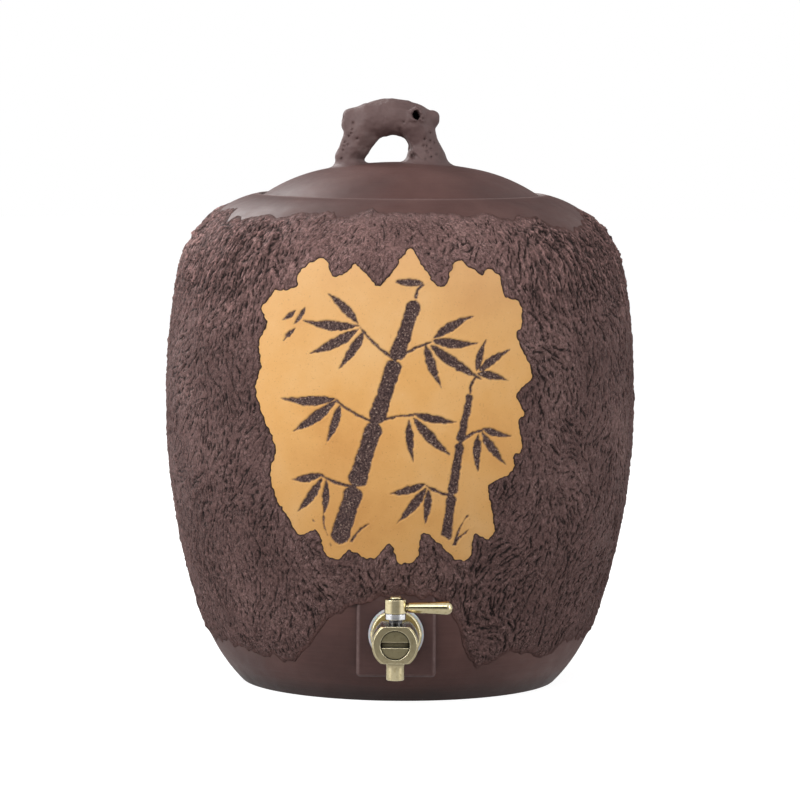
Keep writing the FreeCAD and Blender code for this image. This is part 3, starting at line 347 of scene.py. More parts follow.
# %% Stamp the strokes
def stamp_strokes(field, lean, count, length, width, height, seed, edge_share=0.0, places=None):
    """Adds tapered strokes along the lean: ridges for a positive height, nicks for a negative."""
    rng = np.random.default_rng(seed)
    if places is None:
        rows, columns = rng.integers(0, up_count, count), rng.integers(0, across_count, count)
    else:
        rows, columns = np.argwhere(places)[rng.integers(0, places.sum(), count)].T
    halves = 0.5 * length[0] * (length[1] / length[0]) ** (rng.uniform(0, 1, count) ** 1.6)
    widths = rng.uniform(*width, count)
    heights = height * (0.2 + 0.8 * rng.uniform(0, 1, count) ** 2.2)
    tilts = lean[rows, columns] + rng.normal(0, 0.2, count)
    bends = rng.normal(0, 0.05, count)
    for row, column, half, wide, tall, tilt, bend in zip(
        rows, columns, halves, widths, heights, tilts, bends
    ):
        reach = int((half + 2 * wide) / MAP_STEP) + 1
        near_rows = np.arange(max(0, row - reach), min(up_count, row + reach + 1))
        near_columns = np.arange(column - reach, column + reach + 1)
        up = (near_rows - row)[:, None] * MAP_STEP
        across = (near_columns - column)[None, :] * across_step
        along = up * math.cos(tilt) + across * math.sin(tilt)
        side = across * math.cos(tilt) - up * math.sin(tilt) + bend * along ** 2
        taper = np.clip(1 - (along / half) ** 2, 0, 1) ** 0.6
        shape = taper * np.exp(-(side / wide) ** 2)
        if edge_share:
            shape -= edge_share * taper * np.exp(-((side - 1.8 * wide) / wide) ** 2)
        place = np.ix_(near_rows, near_columns % across_count)
        field[place] = np.where(
            np.abs(tall * shape) > np.abs(field[place]), tall * shape, field[place]
        )


print("strokes are stamped on a map of %.1f mm cells" % MAP_STEP)

# %% [markdown]
# ## Where the strokes lean, and where the clay is calm
# Each of these is a value for every place on the map: the lean of the strokes, and shares from
# 0 to 1 that say how much of a kind of work there is. The margin is a band beside the window
# that the potter has smoothed with a thumb, and flaked clay lies near it on the shoulder.

# %% Lean and shares
SHOULDER_SIDE = 68
LEAN = math.radians(24)
LEAN_WANDER = (math.radians(22), math.radians(12))


def eased(value, start, end):
    """0 before start, 1 after end, and a smooth rise between."""
    share = np.clip((value - start) / (end - start), 0, 1)
    return share * share * (3 - 2 * share)


height_here = np.interp(UP, ALONG, SIDE[:, 1])[:, None]
shoulder_share = eased(height_here, 205, 240)
side_on = np.abs(np.abs(turns) - SHOULDER_SIDE)[None, :]
combed = eased(height_here, 195, 225) * (1 - eased(side_on, 14, 34))

side_share = np.clip(np.abs(turns) / 60, 0, 1) * np.clip((200 - np.abs(turns)) / 110, 0, 1)
lower = 1 - eased(UP, MAP_LOW + 60, MAP_LOW + 105)
lean = LEAN * np.sign(-turns) * side_share * (1 - 1.7 * lower[:, None])
lean = lean * (1 + 0.6 * combed)
lean = lean + (1 - 0.5 * combed) * (LEAN_WANDER[0] * grain(12, 31) + LEAN_WANDER[1] * grain(4, 32))
margin = eased(off_window, 1, 4) * (1 - eased(off_window, 9, 16)) * eased(grain(7, 33), -0.2, 0.6)
flaked = shoulder_share * (1 - eased(off_window, 14, 30)) * eased(grain(8, 34), -0.1, 0.9)
above_window = eased(height_here, 188, 215) * eased(side_on, 30, 52)
calm = 1 - 0.5 * margin * (1 - above_window) - 0.55 * above_window
print("strokes lean %.0f to %.0f degrees" % (np.degrees(lean.min()), np.degrees(lean.max())))

# %% [markdown]
# ## Streaks
# Where a tool has dragged it, clay has a direction as well as a size. A streak is made by
# averaging grain along the way the tool went, with most weight near the middle.

# %% Drag the grain
def dragged(field, lean, length):
    """The field averaged along the lean, over a length in millimetres either way."""
    total = field.copy()
    steps = max(2, int(length / MAP_STEP))
    for way in (1, -1):
        across = np.broadcast_to(ACROSS, field.shape).copy()
        up = np.broadcast_to(UP[:, None], field.shape).copy()
        for step in range(steps):
            across += way * MAP_STEP * np.sin(lean)
            up += way * MAP_STEP * np.cos(lean)
            total += looked_up(field, across, up) * math.cos(0.5 * math.pi * step / steps)
    return (total - total.mean()) / total.std()


print("a drag of 1.8 mm takes %d steps either way" % int(1.8 / MAP_STEP))

# %% [markdown]
# ## Soft shapes and single strokes
# The soft shapes come first: lumps, streaks and torn plates. The strokes are stamped on sheets
# of their own, short ones everywhere and long ones only where the tool was drawn further, and
# some ridges run across the margin of the window. The sum is weakened where the clay is calm.

# %% Add up the relief
lumps = 0.6 * grain(6.0, 41) + 0.4 * grain(2.6, 42)
streaks = dragged(grain(0.6, 43), lean, 1.8)
dents = grain(0.62, 45)
plates = np.tanh(2.2 * (dragged(grain(1.0, 46), lean, 2.4) - 0.35))
flakes = dragged(grain(1.5, 47), lean + 0.7, 2.0) + 0.5 * grain(0.8, 48)
flakes = np.tanh(4 * flakes) + np.tanh(4 * (flakes - 1.1))
nicks = np.zeros_like(lumps)
stamp_strokes(nicks, lean, 17500, (3, 14), (0.3, 0.5), -1.2, 51, edge_share=0.55)
stamp_strokes(nicks, lean, 2000, (10, 28), (0.4, 0.6), -1.3, 53, 0.55, combed > 0.35)
ridges = np.zeros_like(lumps)
stamp_strokes(ridges, lean, 7000, (4, 16), (0.34, 0.55), 0.62, 52)
stamp_strokes(ridges, lean, 1500, (12, 32), (0.4, 0.6), 0.85, 54, places=combed > 0.35)
across_lean = 0.55 * np.sign(turns) + 0 * lean
stamp_strokes(ridges, across_lean, 420, (5, 15), (0.45, 0.65), 0.8, 55, places=margin > 0.4)
torn = 0.13 * lumps + calm * (0.15 * streaks + 0.13 * dents + 0.16 * plates + nicks + ridges)
torn += 0.42 * flaked * flakes
print("bark relief: %.2f to %.2f mm" % (torn.min(), torn.max()))

# %% [markdown]
# ## Thickness of the coat
# The coat is about a millimetre of clay. It thins to a lip at its two ragged ends, is rounded
# over at the window's edge and a little thinner on the shoulder, and never gets so thin beside
# the window that the slip below would show through. Where it meets the pad of the tap it climbs
# onto the pad's face. Two more values are kept for the finish: how deep a place lies below its
# surroundings, which becomes painted shade in the hollows, painted highlights on the ridges and a
# painted shadow line along the window's edge, and how smooth the thin ends have been rubbed.

# %% Thickness of the coat
COAT_THICKNESS, COAT_LIP, COAT_LEAST = 1.0, 0.07, 0.08
COAT_BESIDE_WINDOW = 0.72
PAD_FACE, PAD_HALF, PAD_TOP = 111.5, 20.5, 75

ends = np.minimum(below_top, above_foot)
thumbed = 0.5 + 0.5 * eased(off_window, 0.5, 3.5)
thinned = eased(ends, -0.5, 7.0)
rim = 0.30 * np.exp(-((off_window - 2.0) / 1.5) ** 2)
rounding = np.sqrt(np.clip(1 - (1 - np.clip(off_window / 1.3, 0, 1)) ** 2, 0, 1))
shoulder_thinning = 0.4 * eased(height_here, 190, 225) * eased(off_window, 8, 20)
coat_lift = COAT_LIP + (COAT_THICKNESS - shoulder_thinning - COAT_LIP) * thinned
coat_lift += torn * thumbed * (0.18 + 0.82 * thinned) + rim * thinned
coat_lift = np.maximum(coat_lift, COAT_LEAST) * (0.6 + 0.4 * rounding)
coat_lift = np.maximum(coat_lift, COAT_BESIDE_WINDOW * (1 - eased(off_window, 4, 9)))
# Painted shade and highlight: the finish darkens places below their blurred surroundings and
# paleens none but the ridges above them.
hollows = np.clip((blurred(coat_lift, 1.1) - coat_lift) / 0.36, -1, 1)
# A painted shadow line along the window's edge, below the coat's lip.
hollows = np.maximum(hollows, 0.8 * np.exp(-(off_window / 0.6) ** 2))
smoothed = 1 - eased(ends, -0.5, 4.0)

out_here = np.interp(UP, ALONG, SIDE[:, 0])[:, None]
radians_here = np.radians(turns)[None, :]
proud_pad = np.clip(PAD_FACE / np.maximum(np.cos(radians_here), 0.5) - out_here, 0, 4)
beside_pad = eased(np.abs(out_here * np.sin(radians_here)), PAD_HALF - 0.5, PAD_HALF + 4)
near_pad = (height_here < PAD_TOP) & (np.cos(radians_here) > 0.9)
coat_lift += proud_pad * (1 - beside_pad) * near_pad
print("coat lift: %.2f to %.2f mm" % (coat_lift.min(), coat_lift.max()))

# %% [markdown]
# ## A mesh cut along an outline
# The coat's mesh is a plain grid on the map. Grid points that lie close to the outline are
# moved onto it, and squares outside it are dropped, which leaves a clean edge without tiny
# slivers. The underside repeats the same grid with its faces turned over, and a short wall
# joins the two along the edge, which makes the skin a closed solid.

# %% Cut a grid along an outline
NUDGE = 0.2


def grid_inside(depth_at, across, up, spacing, wraps):
    """Points and faces of a grid on the map, trimmed to where depth_at is above 0."""
    columns, rows = len(across), len(up)
    grid_across, grid_up = np.meshgrid(across, up)
    depth = depth_at(grid_across, grid_up)
    slope_across, slope_up = (
        (depth_at(grid_across + i, grid_up + j) - depth_at(grid_across - i, grid_up - j))
        / (2 * NUDGE) for i, j in ((NUDGE, 0), (0, NUDGE))
    )
    steep = np.maximum(slope_across ** 2 + slope_up ** 2, 0.25)
    close = np.abs(depth) < 0.5 * spacing * np.sqrt(steep)
    grid_across = np.where(close, grid_across - depth * slope_across / steep, grid_across)
    grid_up = np.where(close, grid_up - depth * slope_up / steep, grid_up)
    depth = np.where(close, 0.0, depth)
    inside = depth >= 0
    number = np.arange(rows * columns).reshape(rows, columns)
    if wraps:
        number = np.concatenate([number, number[:, :1]], 1)
        inside = np.concatenate([inside, inside[:, :1]], 1)
    corners, kept = (
        np.stack([of[:-1, :-1], of[:-1, 1:], of[1:, 1:], of[1:, :-1]], -1).reshape(-1, 4)
        for of in (number, inside)
    )
    quads = corners[kept.all(1)]
    three = kept.sum(1) == 3
    triangles = corners[three][kept[three]].reshape(-1, 3)
    flat = np.stack([grid_across.ravel(), grid_up.ravel()], 1)
    at_edge = (depth == 0).ravel()
    lone = at_edge[triangles].all(1)
    return flat, quads, triangles[~lone]


print("a grid point is moved onto the outline if it lies within half a cell of it")

# %% [markdown]
# ## A clean edge
# An edge that only one face uses is an open edge, and the open edges make rings. Where two
# rings touch in one point, a wall put on both would not be a proper solid there. The faces at
# such a point are dropped, again and again, until none is left.

# %% Tidy the edge
def face_edges(quads, triangles):
    """The two ends of every edge, once for each face that uses it."""
    faces = (quads, triangles)
    return tuple(
        np.concatenate([np.roll(face, -step, 1).ravel() for face in faces]) for step in (0, 1)
    )


def open_edges(quads, triangles):
    """The edges that only one face uses."""
    starts, stops = face_edges(quads, triangles)
    size = int(starts.max()) + 1
    alone = ~np.isin(starts * size + stops, stops * size + starts)
    return starts[alone], stops[alone]


def without_pinches(quads, triangles):
    """Drops faces until no edge point belongs to two rings at once."""
    while True:
        values, counts = np.unique(open_edges(quads, triangles)[0], return_counts=True)
        pinched = values[counts > 1]
        if not len(pinched):
            return quads, triangles
        quads = quads[~np.isin(quads, pinched).any(1)]
        triangles = triangles[~np.isin(triangles, pinched).any(1)]


print("a pinch is an edge point where two rings of the edge would touch")

# %% [markdown]
# ## Close the skin and lay it flat
# Each skin is sunk a little into the jar, so that no gap shows below its edge. Its UV map is
# the jar's own flat map, with the hidden underside in a strip above it. It is kept for baking,
# where a flat map wastes less room than one that is guessed from the faces.

# %% Close the skin underneath
SUNK = 0.3


def flat_unwrap(mesh, flat, outside_corners, wraps):
    """A UV map laid out like the jar's map, with the hidden underside in a strip above it."""
    corner_point, face_start = np.zeros(len(mesh.loops), int), np.zeros(len(mesh.polygons), int)
    mesh.loops.foreach_get("vertex_index", corner_point)
    mesh.polygons.foreach_get("loop_start", face_start)
    low, high = flat.min(0), flat.max(0)
    share = (flat - low) / (high - low)
    place = share[corner_point % len(flat)]
    if wraps:
        face_size = np.diff(np.append(face_start, len(corner_point)))
        widest = np.repeat(np.maximum.reduceat(place[:, 0], face_start), face_size)
        place[:, 0] += (widest > 0.9) & (place[:, 0] < 0.1)
        place[:, 0] *= 0.995
    place[:outside_corners, 1] *= 0.9
    place[outside_corners:, 1] = 0.93 + 0.06 * place[outside_corners:, 1]
    layer = mesh.uv_layers.new(name="OFBake")
    layer.data.foreach_set("uv", place.astype(np.float32).ravel())


def skin_piece(name, depth_at, lift_at, across, up, wraps, finish, stands_for, marks):
    """A closed skin on the jar: an outside with relief, a wall along its edge, an underside."""
    flat, quads, triangles = grid_inside(depth_at, across, up, across[1] - across[0], wraps)
    quads, triangles = without_pinches(quads, triangles)
    corners = np.concatenate([quads.ravel(), triangles.ravel()])
    used, place = np.unique(corners, return_inverse=True)
    flat, count = flat[used], len(used)
    quads, triangles = place[:quads.size].reshape(-1, 4), place[quads.size:].reshape(-1, 3)
    a, b = open_edges(quads, triangles)
    walls = np.stack([b, a, a + count, b + count], 1)
    outside = on_jar(*flat.T, lift_at(*flat.T))
    inside = on_jar(*flat.T, -SUNK)
    piece = build_piece(
        name, np.concatenate([outside, inside]),
        [quads, triangles, walls, quads[:, ::-1] + count, triangles[:, ::-1] + count],
        finish, "pot", stands_for,
    )
    for mark, field in marks.items():
        layer = piece.data.attributes.new(mark, "FLOAT", "POINT")
        layer.data.foreach_set("value", np.tile(looked_up(field, *flat.T), 2).astype(np.float32))
    flat_unwrap(piece.data, flat, quads.size + triangles.size + walls.size, wraps)
    return piece


print("skins are sunk %.1f mm into the jar" % SUNK)

# %% [markdown]
# ## Finishes from nodes
# Fired clay and plated brass have no pattern that could be drawn, only variation: patches from
# the kiln, specks of grog, a grain that feels like fine sandpaper. Each finish here is a
# Principled shader fed by noise of real sizes, given in millimetres. An image texture would
# need unwrapping and would blur close up, while noise in space stays sharp and runs on round
# every corner.

# %% Colours
def paint(red, green, blue):
    """A colour from 0 to 255 as a paint chart gives it, in the renderer's own scale."""
    return tuple(
        c / 255 / 12.92 if c <= 10 else ((c / 255 + 0.055) / 1.055) ** 2.4
        for c in (red, green, blue)
    ) + (1.0,)


print("a middle brown:", [round(level, 3) for level in paint(96, 67, 63)])

# %% [markdown]
# ## Nodes in one line each
# Blender joins nodes by name and number, which takes several lines for each. This class holds a
# node tree and makes the usual nodes in one line, so that a finish reads like a recipe.

# %% Node helpers
class Nodes:
    """A node tree being made: nodes are added one at a time and joined up."""

    def __init__(self, tree, place):
        self.tree = tree
        self.place = self.add("TexCoord").outputs[place]

    def join(self, value, socket):
        """Joins a node's output to a socket, or sets the socket to a value."""
        if isinstance(value, bpy.types.NodeSocket):
            self.tree.links.new(value, socket)
        else:
            socket.default_value = value

    def add(self, kind, inputs=(), **settings):
        """A node with its settings, and its inputs set to values or joined to other nodes."""
        node = self.tree.nodes.new("ShaderNode" + kind)
        for word, value in settings.items():
            setattr(node, word, value)
        for socket, value in dict(inputs).items():
            self.join(value, node.inputs[socket])
        return node

    def maths(self, how, a, b=0.0):
        """A sum with two numbers."""
        return self.add("Math", {0: a, 1: b}, operation=how).outputs[0]

    def times(self, a, b):
        """Two numbers multiplied."""
        return self.maths("MULTIPLY", a, b)

    def vector(self, how, a, b=(0.0, 0.0, 0.0)):
        """A sum with two places, which gives a place, or a number for a length or a dot."""
        outputs = self.add("VectorMath", {0: a, 1: b}, operation=how).outputs
        return outputs["Value" if how in ("LENGTH", "DOT_PRODUCT") else "Vector"]

    def split(self, place=None):
        """The three coordinates of a place."""
        return self.add("SeparateXYZ", {0: place or self.place}).outputs

    def reach(self, x, y):
        """The length of two coordinates taken together."""
        return self.vector("LENGTH", self.add("CombineXYZ", {0: x, 1: y}).outputs[0])

    def graded(self, value, stops):
        """Colours or levels along a value: (value, colour or level) pairs, smoothly joined."""
        node = self.add("ValToRGB", {0: value})
        while len(node.color_ramp.elements) < len(stops):
            node.color_ramp.elements.new(1.0)
        for element, (at, shade) in zip(node.color_ramp.elements, stops):
            element.position = at
            element.color = shade if isinstance(shade, tuple) else (shade, shade, shade, 1.0)
        return node.outputs[0]

    def mixed(self, share, a, b, how="MIX"):
        """Two colours mixed by a share."""
        return self.add(
            "Mix", {0: share, 6: a, 7: b}, data_type="RGBA", blend_type=how
        ).outputs[2]

    def shaded(self, share, colour, shade):
        """A colour multiplied by a shade, in full where the share is 1."""
        return self.mixed(share, colour, shade, "MULTIPLY")


print("node helpers: add, maths, times, vector, split, reach, graded, mixed, shaded")

# %% [markdown]
# ## One finish
# A finish is a node tree that ends in one Principled shader, plus what clay and metal have in
# common: noise of a size, wheel rings, painted highlights on edges and painted shade in corners.
# Edges and corners are found by the renderer itself, from the shape, so they stay right if it
# changes.

# %% A finish
class Finish(Nodes):
    """A material being made round one Principled shader."""

    def __init__(self, name, **sockets):
        self.material = bpy.data.materials.new(name)
        self.material.use_nodes = True
        super().__init__(self.material.node_tree, "Object")
        self.shader = self.tree.nodes["Principled BSDF"]
        for socket, value in sockets.items():
            self.feed(socket.replace("_", " "), value)

    def feed(self, socket, value):
        """Joins or sets one socket of the shader."""
        self.join(value, self.shader.inputs[socket])

    def noise(self, size, detail=3.0, roughness=0.6, place=None, shift=0.0):
        """Noise whose lumps are about a size in millimetres across."""
        moved = self.vector("ADD", place or self.place, (shift, shift, shift))
        return self.add("TexNoise", {
            "Vector": moved, "Scale": 1 / (size * MM), "Detail": detail, "Roughness": roughness,
        }).outputs["Fac"]

    def turned(self, spread=0.04):
        """A place that hardly changes on the way round, so that noise in it runs in rings."""
        x, y, z = self.split()
        return self.add(
            "CombineXYZ", {0: self.reach(x, y), 1: z, 2: self.times(x, spread)}
        ).outputs[0]

    def height(self):
        """The height above the ground, where 1 is a quarter of a metre."""
        return self.times(self.split()[2], 4.0)

    def ring(self, radius, width, above):
        """1 on a ring of a radius and width in millimetres, higher up than a height."""
        x, y, z = self.split()
        share = self.times(self.reach(x, y), 1 / (2 * radius * MM))
        half = width / (4 * radius)
        band = self.graded(share, [(0.5 - half, 0.0), (0.5, 1.0), (0.5 + half, 0.0)])
        return self.times(band, self.maths("GREATER_THAN", z, above * MM))

    def rounded(self, radius):
        """The way the surface would face if its edges were rounded to a radius in millimetres."""
        return self.add("Bevel", {"Radius": radius * MM}, samples=6).outputs[0]

    def near_edges(self, radius):
        """1 along sharp edges, within a radius in millimetres, and 0 on the faces beside them."""
        flat = self.add("NewGeometry").outputs["Normal"]
        agree = self.vector("DOT_PRODUCT", self.rounded(radius), flat)
        return self.graded(agree, [(0.88, 1.0), (0.99, 0.0)])

    def painted_corner_shade(self, colour, reach, stops):
        """A colour darkened in corners as painted shade, found within a reach in millimetres."""
        open_to = self.add("AmbientOcclusion", {"Distance": reach * MM}, samples=8).outputs["AO"]
        return self.shaded(1.0, colour, self.graded(open_to, stops))

    def mark(self, name):
        """A value that was stored in the mesh."""
        return self.add("Attribute", attribute_name=name).outputs["Fac"]

    def speckled(self, speck, stops, colour, tone):
        """A colour with specks of another tone."""
        return self.mixed(self.graded(speck, stops), colour, tone)

    def raised(self, *layers, normal=None):
        """Bumps the shading by each (height, depth in millimetres) in turn."""
        for height, depth in layers:
            node = self.add("Bump", {"Height": height, "Distance": depth * MM})
            if normal:
                self.join(normal, node.inputs["Normal"])
            normal = node.outputs["Normal"]
        self.feed("Normal", normal)


print("finish helpers: noise, turned, ring, rounded, rubbed, corner, speckled, raised")

# %% [markdown]
# ## The jar's own clay
# The jar is a purple-brown stoneware that fires to a soft sheen where it has been burnished, with
# rings left by the wheel, painted shade in its corners, and a painted highlight in a pale line at
# the rim beside the lid. One function mixes it in three strengths: the jar's, one for the squared
# pad that is darkened as painted shade and has painted highlights on its rounded edges, and a
# paler one for the handle. All the clays share one grain, at different strengths, because they
# went through the same kiln.

# %% Burnished clay
SEAM_RADIUS, SEAM_WIDTH, SEAM_ABOVE = 76.4, 5.0, 245
BROWN = (paint(82, 57, 54), paint(96, 67, 63), paint(112, 81, 76))
PALE_BROWN = (paint(94, 74, 72), paint(110, 88, 86), paint(130, 108, 104))
# The pad's tones are darkened as painted shade.
PAD_SHADE_BROWN = (paint(66, 46, 45), paint(79, 56, 54), paint(94, 69, 67))


def clay_finish(name, tones, roughness, ring_depth, grain_depth, painted_edge_highlight=0.0):
    """A burnished clay: kiln patches, wheel rings, pale and dark specks, and a fine grain."""
    (dark, middle, pale), (low, high) = tones, roughness
    finish = Finish(name, Specular_IOR_Level=0.3)
    patches = finish.noise(55, detail=4)
    colour = finish.graded(patches, [(0.3, dark), (0.5, middle), (0.72, pale)])
    rings = finish.noise(1.3, detail=4, roughness=0.7, place=finish.turned())
    colour = finish.shaded(0.6, colour, finish.graded(rings, [(0.3, 0.86), (0.7, 1.1)]))
    speck = finish.noise(0.9, detail=2, shift=0.31)
    colour = finish.speckled(speck, [(0.66, 0.0), (0.74, 0.35)], colour, pale)
    colour = finish.speckled(speck, [(0.27, 0.5), (0.34, 0.0)], colour, dark)
    # Painted highlight: a pale line at the rim beside the lid.
    painted_rim_highlight = finish.times(finish.ring(SEAM_RADIUS, SEAM_WIDTH, SEAM_ABOVE), 0.8)
    colour = finish.mixed(painted_rim_highlight, colour, paint(158, 134, 130))
    # Painted highlights on the pad's rounded edges, where they turn away from the front.
    if painted_edge_highlight:
        facing = finish.times(finish.split(finish.add("TexCoord").outputs["Normal"])["Y"], -1.0)
        turning = finish.graded(facing, [(0.25, 0.0), (0.65, 1.0), (0.88, 1.0), (0.995, 0.0)])
        highlight_share = finish.graded(finish.noise(3, detail=4), [(0.3, 0.15), (0.66, painted_edge_highlight)])
        colour = finish.mixed(finish.times(turning, highlight_share), colour, paint(128, 104, 101))
    # Painted shade: the colour is darkened in corners.
    finish.feed("Base Color", finish.painted_corner_shade(colour, 12, [(0.3, 0.4), (0.85, 1.0)]))
    sheen = finish.noise(9, detail=5, shift=0.12)
    finish.feed("Roughness", finish.graded(sheen, [(0.3, low), (0.7, high)]))
    fine = finish.noise(0.5, roughness=0.7)
    finish.raised((rings, ring_depth), (fine, grain_depth), (patches, 0.6))
    return finish.material


pot_clay = clay_finish("pot_clay", BROWN, (0.4, 0.54), 0.09, 0.06)
pad_clay = clay_finish("pad_clay", PAD_SHADE_BROWN, (0.44, 0.56), 0.03, 0.06, painted_edge_highlight=0.6)
handle_clay = clay_finish("handle_clay", PALE_BROWN, (0.46, 0.62), 0.03, 0.12)
print("burnished clays:", [clay.name for clay in (pot_clay, pad_clay, handle_clay)])

# %% [markdown]
# ## The bark's clay
# The bark is the same clay left rough. Painted shade makes it nearly black in the hollows that
# were stored in the mesh, and painted highlights make it pale on the ridges and beside dark lines
# along the threads. Painted light makes it paler high on the shoulder. It is burnished like the
# jar where its thin ends were smoothed. Fibres finer than the mesh are noise that is squeezed
# along the lean of the strokes. The place is folded at the middle first, so that both sides lean
# in. Each shade is multiplied onto the one before, and the same noises raise the surface, so that
# the light and the colour agree.

# %% Bark clay
def bark_finish():
    """A rough clay: painted relief shading, fibres along the lean, furrows, cracks and pale grog.
    """
    finish = Finish("bark_clay", Specular_IOR_Level=0.2)
    patches = finish.noise(38, detail=5)
    colour = finish.graded(
        patches, [(0.3, paint(90, 67, 64)), (0.52, paint(104, 79, 76)), (0.72, paint(122, 95, 91))]
    )
    folded = finish.vector("ABSOLUTE", finish.place)
    leaning = finish.add(
        "VectorRotate", {"Vector": folded, "Angle": LEAN}, rotation_type="Y_AXIS"
    ).outputs[0]
    pulled, combed = (
        finish.vector("MULTIPLY", leaning, (1.0, 1.0, along)) for along in (0.42, 0.12)
    )
    grit = finish.noise(0.7, roughness=0.75)
    fibre = finish.noise(0.95, roughness=0.62, place=pulled)
    thread = finish.noise(1.9, detail=2, roughness=0.5, place=pulled, shift=0.7)
    furrow = finish.noise(2.0, detail=2, roughness=0.5, place=combed, shift=0.3)
    scribble = finish.noise(2.1, roughness=0.55, shift=0.6)

    # Painted shade in the hollows and painted highlights on the ridges, from the mesh.
    depth = finish.maths("ADD", finish.times(finish.mark("hollow"), 0.5), 0.5)
    torn_shade = finish.graded(depth, [(0.0, 1.15), (0.35, 0.68), (0.58, 0.52), (0.85, 0.07)])
    cracks = finish.graded(scribble, [(0.44, 1.0), (0.5, 0.3), (0.56, 1.0)])
    fibre_shade = finish.graded(fibre, [(0.38, 0.35), (0.45, 1.0), (0.57, 1.0), (0.66, 1.8)])
    # Painted highlights beside painted shade along the threads.
    lit_edges = finish.graded(thread, [
        (0.40, 1.0), (0.455, 0.3), (0.5, 1.0), (0.545, (1.5, 1.68, 1.7, 1.0)), (0.6, 1.0),
    ])
    busy = finish.graded(finish.noise(8, shift=0.45), [(0.4, 0.2), (0.6, 0.85)])
    height = finish.height()
    off_middle = finish.times(finish.split(folded)[0], 10.0)
    drawn_out = finish.times(
        finish.graded(height, [(0.74, 0.0), (0.88, 1.0)]),
        finish.graded(off_middle, [(0.3, 0.0), (0.75, 1.0)]),
    )
    rough = colour
    for share, shade in (
        (1.0, torn_shade), (1.0, finish.graded(cracks, [(0.4, 1.7), (1.0, 2.6)])),
        (busy, fibre_shade), (finish.times(busy, 0.8), lit_edges),
        (drawn_out, finish.graded(furrow, [(0.36, 0.5), (0.5, 1.0), (0.66, 1.7)])),
        # Painted light: paler high on the shoulder.
        (1.0, finish.graded(height, [(0.72, 1.0), (0.92, 1.4)])),
        (0.6, finish.graded(grit, [(0.3, 0.7), (0.7, 1.3)])),
    ):
        rough = finish.shaded(share, rough, shade)
    grog = finish.noise(0.75, detail=1, shift=0.8)
    rough = finish.speckled(grog, [(0.7, 0.0), (0.78, 0.7)], rough, paint(178, 150, 140))
    burnished = finish.graded(patches, list(zip((0.3, 0.5, 0.72), BROWN)))
    finish.feed("Base Color", finish.mixed(finish.mark("smoothed"), rough, burnished))
    finish.feed("Roughness", finish.graded(grit, [(0.3, 0.56), (0.7, 0.8)]))
    finish.raised(
        (finish.times(furrow, drawn_out), 0.8), (fibre_shade, 0.16),
        (finish.noise(1.1, detail=4, roughness=0.65, shift=0.2), 0.25), (cracks, 0.35),
        (finish.graded(thread, [(0.44, 0.0), (0.53, 1.0)]), 0.3), (grit, 0.08)
    )
    return finish.material


bark_clay = bark_finish()
print("rough clay:", bark_clay.name)

# %% [markdown]
# ## The panel's clay
# The panel is an ochre slip, quite matt and warm, with small brown and cream specks. Painted light
# makes it a little darker below and paler high up, where it turns up to the light. Where it is
# carved away, the dark ground shows, stippled with a pale dust. The value stored in the mesh says
# where that is, so the colour changes exactly at the step of the cut.

# %% Ochre clay
def panel_finish():
    """An ochre slip, and the stippled ground where it is carved away."""
    finish = Finish("ochre_clay", Specular_IOR_Level=0.25)
    patches = finish.noise(45, detail=5)
    slip = finish.graded(patches, [
        (0.28, paint(222, 161, 92)), (0.5, paint(234, 177, 107)), (0.74, paint(240, 190, 128)),
    ])
    speck = finish.noise(0.8, detail=2, shift=0.4)
    slip = finish.speckled(speck, [(0.3, 0.4), (0.36, 0.0)], slip, paint(170, 112, 66))
    slip = finish.speckled(speck, [(0.68, 0.0), (0.75, 0.5)], slip, paint(243, 205, 160))
    height = finish.height()
    # Painted light: darker below, and paler high up where the panel turns up to the light.
    slip = finish.shaded(1.0, slip, finish.graded(height, [(0.35, 0.92), (0.6, 1.08)]))
    slip = finish.speckled(height, [(0.7, 0.0), (0.95, 0.3)], slip, paint(240, 206, 168))
    grit = finish.noise(1.0, roughness=0.8, shift=0.7)
    ground = finish.graded(grit, [
        (0.38, paint(40, 29, 30)), (0.5, paint(82, 62, 60)), (0.6, paint(112, 88, 82)),
        (0.69, paint(206, 182, 162)),
    ])
    finish.feed("Base Color", finish.mixed(finish.mark("carved"), slip, ground))
    finish.feed("Roughness", finish.graded(patches, [(0.3, 0.62), (0.7, 0.78)]))
    smear = finish.noise(6, detail=5, roughness=0.55, shift=0.9)
    finish.raised((smear, 0.25), (grit, 0.06))
    return finish.material


ochre_clay = panel_finish()
print("slip:", ochre_clay.name)

# %% [markdown]
# ## Lay the bark on the jar
# The coat goes all round with the window left open. Its cells are three quarters of a
# millimetre, small enough that every nick keeps its shape and its shadow.

# %% Build the bark coat
COAT_CELL = 0.75


def sampler(field):
    """A function that looks the field up at places on the map."""
    return lambda across, up: looked_up(field, across, up)


coat_columns = int(ROUND / COAT_CELL)
coat_across = (np.arange(coat_columns) - coat_columns // 2) * ROUND / coat_columns
coat_up = np.arange(MAP_LOW + 1, MAP_HIGH - 1, COAT_CELL)
bark = skin_piece(
    "bark", sampler(coat_depth), sampler(coat_lift), coat_across, coat_up, True, bark_clay,
    ["bark_coat"], {"hollow": hollows, "smoothed": smoothed},
)

# %% [markdown]
# ## Draw the carving
# The panel is decorated by cutting a silhouette through the ochre slip and stippling the dark
# clay below. The design here is a plain bamboo: jointed stems, thin twigs and pointed leaves.
# Each stroke is a shape that knows how far inside it a place lies, and the carving is the
# greatest of them all, so strokes that cross simply run together as they do under the knife.

# %% Strokes of the knife
panel_low, panel_high = np.interp((70, 240), SIDE[:, 1], ALONG)
panel_rows = (UP > panel_low) & (UP < panel_high)
panel_columns = np.abs(ACROSS) < 85
DRAW_ACROSS, DRAW_UP = np.meshgrid(ACROSS[panel_columns], UP[panel_rows])


